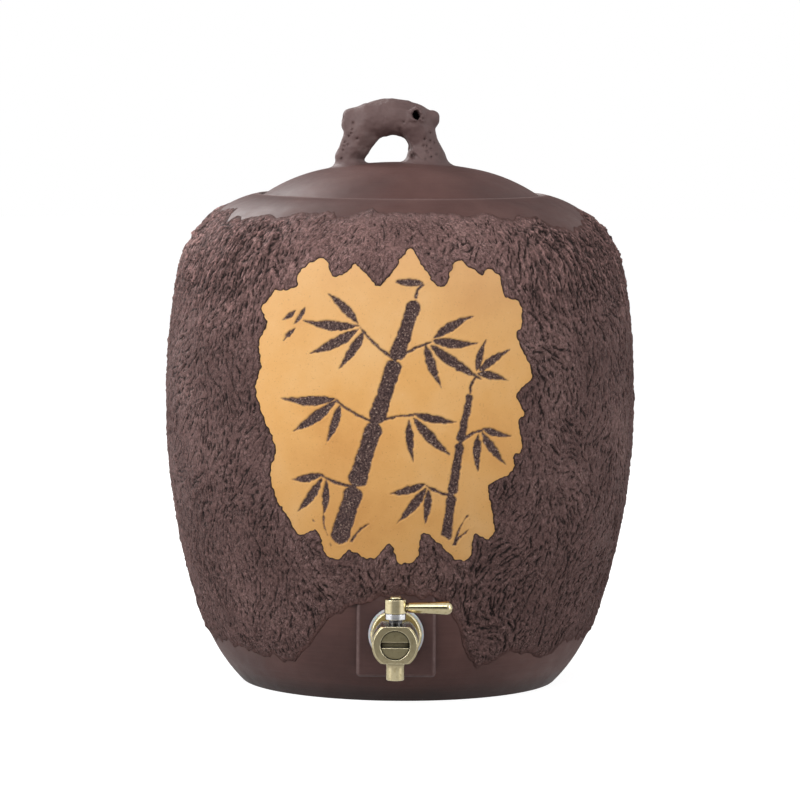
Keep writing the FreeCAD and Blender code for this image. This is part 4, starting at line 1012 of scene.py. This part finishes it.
def drawn(x0, z0, along_x, along_z, length, bow, half_at):
    """Depth inside a shape drawn along a bowed line, with its half width at each share of it."""
    run = ((DRAW_ACROSS - x0) * along_x + (DRAW_UP - z0) * along_z) / length
    share = np.clip(run, 0, 1)
    side = (DRAW_UP - z0) * along_x - (DRAW_ACROSS - x0) * along_z
    side = side - bow * 4 * share * (1 - share)
    return half_at(share) - np.hypot(side, (run - share) * length)


def stroke(start, end, start_half, end_half, swell=0.0, bow=0.0):
    """Depth inside a tapered stroke between two places seen from the front."""
    (x0, x1), (z0, z1) = from_front([start[0], end[0]], [start[1], end[1]])
    length = math.hypot(x1 - x0, z1 - z0)
    return drawn(
        x0, z0, (x1 - x0) / length, (z1 - z0) / length, length, bow, lambda share:
        start_half + (end_half - start_half) * share + swell * (2 * share - 1) ** 4,
    )


def leaf(base, angle, length, half, bow):
    """Depth inside a pointed leaf that leaves its base at an angle in degrees."""
    (x0,), (z0,) = from_front([base[0]], [base[1]])
    return drawn(
        x0, z0, math.cos(math.radians(angle)), math.sin(math.radians(angle)), length, bow,
        lambda share: half * np.sin(math.pi * share ** 0.8) ** 1.1,
    )


def stem(places, halves, gap):
    """Jointed sections of a stem through the places, flared at the joints, with a gap between."""
    sections = []
    for start, end, low, high in zip(places, places[1:], halves, halves[1:]):
        start, end = np.array(start, float), np.array(end, float)
        along = (end - start) / np.hypot(*(end - start))
        start, end = start + along * (low + gap / 2), end - along * (high + gap / 2)
        sections.append(stroke(start, end, low, high, swell=0.14 * low))
    return sections


print("strokes are drawn on a map of %d x %d cells" % DRAW_UP.shape[::-1])

# %% [markdown]
# ## The bamboo
# A tall stem and a short one rise from tufts of grass. Twigs leave the joints, and most of them
# carry three or four leaves that hang and spread. The outlines are shaken a little, as a knife
# in clay is never quite steady, and the carving keeps clear of the window's edge.

# %% Carve the bamboo
TALL_STEM = [(-30, 86), (-21, 116), (-11, 149), (-1, 181), (9, 211)]
SHORT_STEM = [(25, 88), (28, 112), (32, 139), (37, 164)]
TWIGS = [
    ((-1, 181), (17, 190)), ((-1, 181), (-19, 197)), ((-11, 149), (-31, 160)),
    ((-11, 149), (8, 153)), ((-21, 116), (-38, 121)), ((32, 139), (43, 145)),
    ((28, 112), (15, 117)), ((37, 164), (40, 173)), ((9, 213), (13, 219)),
]
LEAVES = [
    ((17, 191), -4, 24, 2.5, -1.0), ((16, 189), -34, 33, 2.7, -1.0),
    ((14, 189), -70, 24, 2.3, -0.8), ((18, 192), 28, 24, 2.3, 1.0),
    ((-19, 198), 176, 32, 2.6, 1.3), ((-19, 197), 208, 30, 2.7, 1.0),
    ((-17, 196), 238, 24, 2.3, 0.8), ((-20, 199), 138, 23, 2.3, -1.0),
    ((-31, 161), 182, 30, 2.6, 1.4), ((-31, 160), 216, 29, 2.7, 1.0),
    ((-29, 158), 250, 22, 2.2, 0.8), ((8, 154), -12, 22, 2.2, -0.8),
    ((8, 152), -46, 28, 2.6, -1.0), ((6, 151), -84, 22, 2.2, -0.7),
    ((-38, 122), 192, 18, 2.1, 0.8), ((-38, 120), 232, 24, 2.4, 0.9),
    ((-36, 119), 264, 19, 2.1, 0.6), ((43, 146), -16, 16, 1.9, -0.7),
    ((43, 144), -52, 22, 2.3, -0.8), ((41, 143), -88, 20, 2.1, -0.6),
    ((15, 118), 196, 20, 2.1, 0.8), ((15, 116), 232, 24, 2.4, 0.8), ((16, 115), 266, 18, 2.0, 0.5),
    ((40, 174), -14, 18, 2.0, 0.7), ((41, 175), 32, 20, 2.1, 0.8), ((40, 175), 72, 17, 2.0, 0.6),
    ((13, 220), 176, 17, 1.9, 0.6), ((-52, 205), 214, 10, 1.3, 0.5),
    ((-47, 207), 236, 12, 1.4, 0.5), ((-52, 196), 226, 10, 1.2, -0.4),
]
GRASS = [
    ((-36, 85), (-44, 99), -1.6), ((-34, 85), (-37, 104), 1.4), ((-24, 85), (-14, 97), 1.4),
    ((30, 86), (36, 101), 1.3), ((29, 86), (39, 94), 1.2),
]
strokes = stem(TALL_STEM, [4.7, 4.4, 4.0, 3.7, 3.3], 1.1)
strokes += stem(SHORT_STEM, [2.6, 2.4, 2.1, 1.8], 0.9)
strokes += [stroke(start, end, 0.85, 0.6, bow=1.0) for start, end in TWIGS]
strokes += [leaf(*numbers) for numbers in LEAVES]
strokes += [stroke(start, end, 1.0, 0.3, bow=bow) for start, end, bow in GRASS]
carving = np.full(lumps.shape, -5.0)
carving[np.ix_(panel_rows, panel_columns)] = np.max(strokes, 0)
carving += 0.16 * grain(0.6, 61) + 0.08 * grain(2.0, 62)
carving = np.minimum(carving, -off_window - 4.0)
print("carving covers %.0f cm2" % covered(carving))

# %% [markdown]
# ## Fit the ochre panel
# The panel runs a little way under the bark, as slip would. Its outside is cut on a finer grid,
# and the slip drops to the ground within a third of a millimetre at a stroke's edge, so that the
# cut
# looks sharp: the slip ends in a small step, and the ground below it is rough.

# %% Build the panel
PANEL_CELL = 0.5
SLIP_THICKNESS, GROUND_LIFT = 0.6, 0.14
UNDER_BARK = 2.6

ground_rough = 0.10 * grain(0.55, 63) + 0.05 * grain(0.35, 64)
slip_lift = SLIP_THICKNESS + 0.025 * grain(7, 65) + 0.012 * grain(1.2, 66)
slip_lift += 0.10 * np.exp(-((carving + 0.7) / 0.5) ** 2)
carved = eased(carving, -0.12, 0.18)
panel_lift = np.maximum(slip_lift * (1 - carved) + (GROUND_LIFT + ground_rough) * carved, 0.03)
panel_across = np.arange(-90, 90, PANEL_CELL)
panel_up = np.arange(UP[panel_rows][0] - 6, UP[panel_rows][-1] + 6, PANEL_CELL)
panel = skin_piece(
    "panel", sampler(UNDER_BARK - off_window), sampler(panel_lift), panel_across, panel_up,
    False, ochre_clay, ["ochre_panel"], {"carved": carved},
)

# %% [markdown]
# ## A branch grown from distances
# The handle is modelled like a bent branch that has been pressed onto the lid: two legs, a top
# bar, the stump of a cut side branch, a round knob and a knot hole, all flowing into each other.
# Boxes and tubes would show their seams. Instead each part is a formula for the distance to it,
# and a soft minimum melts the distances together, just as wet clay is smoothed over a join. The
# skin is then found where the distance is nought.

# %% Distances of the branch
BRANCH_CELL = 0.42
BRANCH_LOW = np.array([-42.0, -17.0, 266.0])
BRANCH_HIGH = np.array([31.0, 17.0, 315.0])

branch_counts = ((BRANCH_HIGH - BRANCH_LOW) / BRANCH_CELL).astype(int)
GX, GY, GZ = np.meshgrid(
    *[low + np.arange(n) * BRANCH_CELL for low, n in zip(BRANCH_LOW, branch_counts)], indexing="ij"
)


def limb(start, end, start_radius, end_radius):
    """Distance to a tapered limb between two places."""
    start, end = np.array(start, float), np.array(end, float)
    run = end - start
    share = ((GX - start[0]) * run[0] + (GY - start[1]) * run[1] + (GZ - start[2]) * run[2])
    share = np.clip(share / (run @ run), 0, 1)
    gap = np.sqrt(
        (GX - start[0] - share * run[0]) ** 2 + (GY - start[1] - share * run[1]) ** 2
        + (GZ - start[2] - share * run[2]) ** 2
    )
    return gap - (start_radius + (end_radius - start_radius) * share)


def melted(a, b, reach):
    """The lesser of two distances, with the join rounded over a reach."""
    near = np.clip(reach - np.abs(a - b), 0, None) / reach
    return np.minimum(a, b) - near ** 2 * reach / 4


def hollowed(a, b, reach):
    """The first shape with the second taken out, with the edge rounded over a reach."""
    return -melted(-a, b, reach)


def lumpy(size, seed):
    """Noise in the branch's box, with lumps of a size in millimetres."""
    field = np.random.default_rng(seed).standard_normal(GX.shape)
    waves = np.meshgrid(*[np.fft.fftfreq(n, BRANCH_CELL) for n in GX.shape[:2]],
                        np.fft.rfftfreq(GX.shape[2], BRANCH_CELL), indexing="ij")
    keep = np.exp(-2 * (math.pi * size) ** 2 * sum(wave ** 2 for wave in waves))
    field = np.fft.irfftn(np.fft.rfftn(field) * keep, s=GX.shape)
    return field / field.std()


print("branch box: %d x %d x %d cells" % GX.shape)

# %% [markdown]
# ## Melt the branch together
# The branch is a row of round places, each with its own radius, joined by tapered limbs. The
# stump is cut flat, the knob points to the front with a hole in it, and another hole is sunk in
# the end of the stump.

# %% Melt the branch
BRANCH = [
    (-27.4, 0.0, 271.0, 8.6), (-26.9, 0.0, 279.0, 6.7), (-23.9, -0.2, 286.5, 7.5),
    (-20.5, -0.2, 293.5, 8.8), (-16.8, 0.0, 299.5, 9.2), (-11.0, 0.2, 301.1, 9.3),
    (-5.0, 0.3, 302.0, 9.5), (1.6, 0.2, 301.2, 9.2), (7.0, 0.0, 299.2, 9.4),
    (10.8, 0.0, 294.8, 8.1), (12.7, 0.2, 288.6, 7.2), (13.8, 0.2, 284.0, 8.2),
    (14.1, 0.0, 279.0, 10.2), (15.0, 0.0, 272.0, 12.8),
]
branch = np.full(GX.shape, 50.0)
for first, second in zip(BRANCH, BRANCH[1:]):
    branch = melted(branch, limb(first[:3], second[:3], first[3], second[3]), 2.0)
stump = limb((-19.0, 0, 300.6), (-31.2, -0.6, 301.2), 8.1, 3.7)
stump_end = -0.99 * (GX + 30.5) + 0.10 * (GZ - 301.0) - 0.12 * GY
branch = melted(branch, -melted(-stump, -stump_end, 2.2), 3.5)
branch = melted(branch, limb((10.0, 0, 299.6), (16.9, -0.6, 300.9), 6.2, 4.5), 2.2)
branch = melted(branch, limb((8.6, 0, 302.8), (8.6, -6.8, 303.2), 5.7, 4.7), 1.6)
branch = hollowed(branch, limb((8.6, -1.0, 301.6), (8.8, -16.0, 304.4), 2.0, 2.7), 0.8)
branch = hollowed(branch, limb((-29.6, -0.6, 300.8), (-33.0, -0.6, 301.2), 1.6, 3.2), 1.0)
print("branch parts melted:", len(BRANCH) + 2)

# %% [markdown]
# ## Cuts and pricks in the clay
# A crease runs down the right leg where two rolls of clay were joined, and both legs are pricked
# with a needle to look like bark. A prick is drawn by pushing the surface in near a line that
# runs through the branch from front to back.

# %% Crease, groove and pricks
CREASE = [(1.2, 297.1), (3.5, 292.5), (6.3, 287.4), (9.4, 282.3), (12.0, 280.0)]
GROOVE = [(0.2, 295.6), (2.1, 291.4), (4.9, 286.4), (7.6, 281.4)]
PRICKS = [
    (-24.8, 298.8), (-25.2, 295.3), (-25.7, 293.2), (-27.0, 291.7), (-29.1, 288.4), (-27.7, 287.2),
    (-29.6, 286.3), (-30.1, 284.0), (-22.6, 290.4), (-31.0, 279.6), (16.1, 293.7), (13.3, 290.4),
    (16.1, 289.4), (18.4, 288.4), (12.8, 286.8), (14.5, 286.6), (16.6, 285.3), (14.5, 284.0),
    (15.3, 283.0), (16.9, 280.9), (19.7, 282.2), (13.8, 279.6), (12.2, 301.4), (2.2, 299.4),
]


def near_line(places):
    """Distance from a line of (x, z) places, looking along the branch's depth."""
    x, z = GX[:, 0, :], GZ[:, 0, :]
    nearest = np.full(x.shape, 50.0)
    for (x0, z0), (x1, z1) in zip(places, places[1:]):
        share = ((x - x0) * (x1 - x0) + (z - z0) * (z1 - z0)) / ((x1 - x0) ** 2 + (z1 - z0) ** 2)
        share = np.clip(share, 0, 1)
        gap = np.hypot(x - x0 - share * (x1 - x0), z - z0 - share * (z1 - z0))
        nearest = np.minimum(nearest, gap)
    return nearest[:, None, :]


def spot(x, z, radius):
    """1 on a line through the branch at (x, z), fading out over a radius."""
    return np.exp(-((GX - x) ** 2 + (GZ - z) ** 2) / radius ** 2)


print("pricks on each side:", len(PRICKS))

# %% [markdown]
# ## Press them in
# Adding to a distance pushes the skin in, and taking away from it swells the skin. Fine lumps make
# the clay uneven all over, and more so round the knot. Then the feet melt into the lid's dome.
# The handle was pressed on a millimetre to the left of the lid's middle, so the dome is shifted
# here, and the whole handle is moved back when it is built.

# %% Press in the cuts and join the lid
DOME_CURVE, DOME_TOP, BRANCH_SHIFT = 215.0, 278.05, 1.0
FILLET = 4.2
PRICK_DEPTH, PRICK_RADIUS = 0.95, 0.62

in_front = GY < 0
branch -= in_front * 0.40 * np.exp(-(near_line(CREASE) / 0.6) ** 2)
branch += in_front * 0.55 * np.exp(-(near_line(GROOVE) / 1.0) ** 2)
branch += in_front * 1.6 * spot(7.4, 281.2, 1.7)
for number, (x, z) in enumerate(PRICKS):
    behind = spot(x - 2.3, z + 1.9 * math.sin(5 * number), PRICK_RADIUS)
    branch += PRICK_DEPTH * np.where(in_front, spot(x, z, PRICK_RADIUS), behind)
branch += 0.28 * lumpy(2.6, 71) + 0.08 * lumpy(0.8, 72)
branch += in_front * spot(8.6, 303.2, 5.0) * 0.34 * lumpy(0.9, 73)
dome = np.sqrt((GX - BRANCH_SHIFT) ** 2 + GY ** 2 + (GZ - DOME_TOP + DOME_CURVE) ** 2)
dome -= DOME_CURVE
handle_field = melted(branch, dome, FILLET)
handle_field = np.maximum(handle_field, branch - 0.95 * FILLET)
handle_field = np.maximum(handle_field, -1.2 - dome)
print("branch box cells:", handle_field.size)

# %% [markdown]
# ## From distances to a skin
# The distances are known at the corners of small boxes. Where one edge of a box has its ends on
# different sides of the surface, the surface crosses it. Each box gets one point, the mean of the
# crossings on its edges, and the four boxes round every crossed edge are joined by a face. This
# makes an even mesh of four-sided faces that is closed by itself.

# %% Find the skin
def skin_of(field, low, step):
    """Points and four-sided faces of the surface where the field crosses nought."""
    inside = field < 0
    cells = np.array(field.shape) - 1
    total, hits = np.zeros((int(cells.prod()), 3)), np.zeros(int(cells.prod()))
    faces = []
    for axis in range(3):
        ahead = np.arange(3) == axis
        first, second = np.eye(3, dtype=int)[~ahead]
        starts, ends = (
            tuple(edge if along else slice(1, -1) for along in ahead)
            for edge in (slice(0, -1), slice(1, None))
        )
        crossing = np.argwhere(inside[starts] != inside[ends]) + ~ahead
        a, b = field[tuple(crossing.T)], field[tuple((crossing + ahead).T)]
        place = crossing.astype(float)
        place[:, axis] += a / (a - b)
        around = []
        for back in (0 * first, first, first + second, second):
            flat = np.ravel_multi_index(tuple((crossing - back).T), tuple(cells))
            for i in range(3):
                total[:, i] += np.bincount(flat, place[:, i], len(total))
            hits += np.bincount(flat, minlength=len(hits))
            around.append(flat)
        ring = np.stack(around, 1)
        turned_over = (a < 0) != (axis == 1)
        faces.append(np.where(turned_over[:, None], ring, ring[:, ::-1]))
    used = np.flatnonzero(hits)
    number = np.full(len(hits), -1)
    number[used] = np.arange(len(used))
    points = low + step * total[used] / hits[used][:, None]
    return points, number[np.concatenate(faces)]


handle_points, handle_faces = skin_of(handle_field, BRANCH_LOW, BRANCH_CELL)
handle_points[:, 0] -= BRANCH_SHIFT
handle = build_piece(
    "branch_handle", handle_points, [handle_faces], handle_clay, "lid", ["lid_handle"]
)

# %% [markdown]
# ## The tap's metals and seals
# The tap is cast brass with an old-gold plating, its gland is bright chrome, and a pale silicone
# ring seals it to the pad. Plating is never an even mirror: it has faint lines from polishing,
# tarnish in patches, and fingerprints that make the gloss wander. Each metal gets those, with
# painted shade in the corners and painted highlights along the edges, and its shading is rounded
# at the edges, because no cast edge is as sharp as a drawn one.

# %% Metals
EDGE_HIGHLIGHT_BRASS = paint(250, 240, 208)


def metal_finish(name, pale, dark, roughness, edge):
    """A polished metal: tarnish, painted highlights on rounded edges, painted corner shade,
    polishing lines.
    """
    finish = Finish(name, Metallic=1.0)
    tarnish = finish.noise(1.6, detail=4, roughness=0.62)
    colour = finish.graded(tarnish, [(0.2, dark), (0.5, pale)])
    # Painted highlights along the edges.
    colour = finish.mixed(finish.near_edges(0.45), colour, edge)
    # Painted shade: the colour is darkened in corners and recesses.
    finish.feed("Base Color", finish.painted_corner_shade(colour, 5, [(0.5, 0.06), (0.92, 1.0)]))
    stretched = finish.add("Mapping", {"Vector": finish.place, "Scale": (0.12, 0.12, 1.0)})
    polish = finish.noise(0.35, roughness=0.7, place=stretched.outputs[0])
    smudge = finish.noise(2.4, detail=4, shift=0.5)
    finish.feed("Roughness", finish.graded(smudge, list(zip((0.3, 0.7), roughness))))
    finish.raised((polish, 0.003), (tarnish, 0.002), normal=finish.rounded(0.6))
    return finish.material


METALS = [
    ("antique_brass", paint(208, 195, 158), paint(176, 160, 116), (0.1, 0.17), EDGE_HIGHLIGHT_BRASS),
    ("satin_brass", paint(184, 172, 138), paint(150, 136, 98), (0.13, 0.2), EDGE_HIGHLIGHT_BRASS),
    ("darker_brass", paint(160, 150, 118), paint(122, 112, 82), (0.16, 0.26), EDGE_HIGHLIGHT_BRASS),
    ("chrome", paint(226, 226, 228), paint(196, 196, 200), (0.06, 0.12), paint(226, 226, 228)),
    ("steel", paint(190, 190, 188), paint(160, 160, 160), (0.25, 0.38), paint(190, 190, 188)),
]

finishes = {row[0]: metal_finish(*row) for row in METALS}
print("metals:", ", ".join(finishes))

# %% [markdown]
# ## Silicone, rubber and plastic
# Soft seals have no sheen of metal. They are nearly one colour, with a faint mottle and a
# moulded grain. The white silicone also lets a little light in under its surface, which
# makes it look milky.

# %% Seals
def soft_finish(name, pale, dark, roughness, size, depth, **sockets):
    """Silicone, rubber and plastic: a faint mottle, a moulded grain and an uneven gloss."""
    finish = Finish(name, **sockets)
    mottle = finish.noise(size, detail=4)
    finish.feed("Base Color", finish.graded(mottle, [(0.3, dark), (0.7, pale)]))
    finish.feed("Roughness", finish.graded(mottle, [(0.3, roughness), (0.7, roughness + 0.12)]))
    finish.raised((finish.noise(0.35), depth))
    return finish.material


SOFT = [
    ("white_silicone", paint(226, 230, 238), paint(206, 212, 224), 0.32, 4, 0.01),
    ("black_rubber", paint(46, 46, 47), paint(30, 30, 31), 0.6, 3, 0.03),
    ("white_plastic", paint(236, 235, 230), paint(222, 221, 216), 0.4, 3, 0.01),
]
MILKY = {"Subsurface_Weight": 0.3, "Subsurface_Scale": 0.002}
for row in SOFT:
    finishes[row[0]] = soft_finish(*row, **(MILKY if row[0] == "white_silicone" else {}))
print("finishes so far:", ", ".join(finishes))

# %% [markdown]
# ## Give every piece its finish
# Each solid was packed with the name of its material, so a table from name to finish is enough.
# Three pieces get a finish of their own: the upright body of the tap is a more satin brass, its
# front plug a darker, rougher one, and the pad of the jar is the clay with painted shade and
# painted highlights on its edges.

# %% Hand out the finishes
finishes.update(clay=pot_clay, pad_clay=pad_clay, bark_clay=bark_clay, ochre_clay=ochre_clay)
SPECIAL = {"front_plug": "darker_brass", "tap_body": "satin_brass", "tap_pad": "pad_clay"}
slot_of = {part["node"]: part["material_slot"] for part in frame["record"]["subparts"]}
for name, node in frame["nodes"].items():
    for slot in node.material_slots:
        slot.material = finishes[SPECIAL.get(name, slot_of[name])]
print("finishes given to", len(frame["nodes"]), "nodes")

# %% [markdown]
# ## A pale floor
# The pot stands on a plain pale floor that is white to the camera. Polished metal shows whatever
# lies round it. In reflections the floor glows at both sides of the tap, more faintly close round
# it, and is dark further in front. Light path nodes say which kind of ray is asking.

# %% Floor
TAP_AHEAD = 0.1415
SEEN_GLOW = 0.9

floor_finish = Finish("floor", Roughness=0.9, Base_Color=(0.34, 0.34, 0.34, 1))
floor_finish.raised((floor_finish.noise(14), 0.05))
times, graded, reach = floor_finish.times, floor_finish.graded, floor_finish.reach
rays = floor_finish.add("LightPath").outputs
east, north, _ = floor_finish.split()
ahead = times(floor_finish.maths("ADD", north, TAP_AHEAD), -1.0)
round_tap = floor_finish.maths("ABSOLUTE", floor_finish.maths("ARCTAN2", east, ahead))
half_turns = floor_finish.maths("DIVIDE", round_tap, math.pi)
beside = graded(half_turns, [(0.18, 0.0), (0.34, 0.8), (0.7, 0.8), (1.0, 0.1)])
close = graded(times(reach(east, ahead), 2.0), [(0.3, 0.42), (0.5, 0.0)])
clear = graded(times(reach(east, north), 2.0), [(0.38, 0.0), (0.5, 1.0)])
shine = times(rays["Is Glossy Ray"], floor_finish.maths("MAXIMUM", times(beside, clear), close))
level = floor_finish.maths("ADD", times(rays["Is Camera Ray"], SEEN_GLOW), shine)
glow = floor_finish.add("Emission", {"Color": (1, 1, 1, 1), "Strength": level})
both = floor_finish.add("AddShader", {0: floor_finish.shader.outputs[0], 1: glow.outputs[0]})
floor_finish.join(both.outputs[0], floor_finish.tree.nodes["Material Output"].inputs["Surface"])
bpy.ops.mesh.primitive_circle_add(vertices=96, radius=6.0, fill_type="NGON", location=(0, 0, 0))
floor = bpy.context.object
floor.name = "floor"
floor.data.materials.append(floor_finish.material)
print("floor: 12 m across")

# %% [markdown]
# ## The world
# The world is white to the camera and a dim grey to the clay. For reflections it has bright and
# dark upright strips, like the windows and walls of a room, and a bright patch above and in
# front. Without them the brass would mirror one even grey and look like plastic.

# %% World
DIM = 0.26
STRIPS = [
    (0.0, 0.8), (0.2, 1.0), (0.36, 0.3), (0.44, 0.08), (0.56, 0.08), (0.68, 0.6), (0.85, 0.9),
    (1.0, 0.6),
]

world = bpy.data.worlds.new("studio")
bpy.context.scene.world = world
world.use_nodes = True
sky = Nodes(world.node_tree, "Generated")
x, y, z = sky.split()


def sky_ramp(value, start, end, stops):
    """A grey level along a value that runs from start to end."""
    spread = sky.add("MapRange", {"Value": value, "From Min": start, "From Max": end})
    return sky.graded(spread.outputs[0], stops)


overhead = sky.times(
    sky_ramp(z, 0, 1, [(0.42, 0.0), (0.56, 1.0)]), sky_ramp(y, -1, 1, [(0.5, 1.0), (0.7, 0.0)])
)
mirrored = sky.maths("MAXIMUM", sky_ramp(x, -1, 1, STRIPS), overhead)
path = sky.add("LightPath").outputs
lighting = sky.add("Mix", {0: path["Is Glossy Ray"], 2: DIM, 3: mirrored}).outputs[0]
seen = sky.add("Mix", {0: path["Is Camera Ray"], 2: lighting, 3: 1.0}).outputs[0]
sky.join(seen, world.node_tree.nodes["Background"].inputs["Color"])
print("world:", len(world.node_tree.nodes), "nodes")

# %% [markdown]
# ## Soft lamps
# Four large panels give a soft light with a clear direction: one stands left of the camera, a
# weaker one right of it, the weakest above the front, and one behind on the left that leaves a
# pale sheen on the lid. Large lamps blur the shadows, as a white tent would.

# %% Soft lamps
AIM = Vector((0, 0, 0.15))
LAMPS = [
    ("left_panel", (-1.15, -0.75, 0.75), (0.8, 1.2), 12.5),
    ("left_back_panel", (-0.85, 0.95, 1.05), (0.7, 0.9), 14),
    ("right_panel", (1.35, -0.75, 0.5), (0.6, 1.3), 9),
    ("front_panel", (-0.3, -1.35, 1.3), (1.2, 0.6), 6.5),
]

for name, place, size, power in LAMPS:
    lamp = bpy.data.lights.new(name, "AREA")
    lamp.shape = "RECTANGLE"
    lamp.size, lamp.size_y = size
    lamp.energy = power
    lit = bpy.data.objects.new(name, lamp)
    bpy.context.scene.collection.objects.link(lit)
    lit.location = place
    lit.rotation_euler = (AIM - Vector(place)).to_track_quat("-Z", "Y").to_euler()
print("lamps:", ", ".join(row[0] for row in LAMPS))

# %% [markdown]
# ## Camera
# The camera is far away with a long lens, a little above the lid, which keeps the jar's sides
# upright. It leans by less than half a degree, as a camera held by hand does.

# %% Camera
CAMERA_AWAY = 2.193
CAMERA_HEIGHT = 0.338
CAMERA_TILT = math.radians(4.897)
CAMERA_ROUND = math.radians(0.61)
CAMERA_LEAN = math.radians(0.39)

lens = bpy.data.cameras.new("camera")
lens.lens, lens.sensor_width = 184.1, 36.0
camera = bpy.data.objects.new("camera", lens)
bpy.context.scene.collection.objects.link(camera)
camera.location = (
    CAMERA_AWAY * math.sin(CAMERA_ROUND), -CAMERA_AWAY * math.cos(CAMERA_ROUND), CAMERA_HEIGHT
)
camera.rotation_euler = (
    math.pi / 2 - CAMERA_TILT, -CAMERA_LEAN, CAMERA_ROUND + CAMERA_LEAN * math.sin(CAMERA_TILT)
)
bpy.context.scene.camera = camera
bpy.context.scene.view_settings.view_transform = "Standard"
print("camera: %.1f mm lens, %.2f m away" % (lens.lens, CAMERA_AWAY))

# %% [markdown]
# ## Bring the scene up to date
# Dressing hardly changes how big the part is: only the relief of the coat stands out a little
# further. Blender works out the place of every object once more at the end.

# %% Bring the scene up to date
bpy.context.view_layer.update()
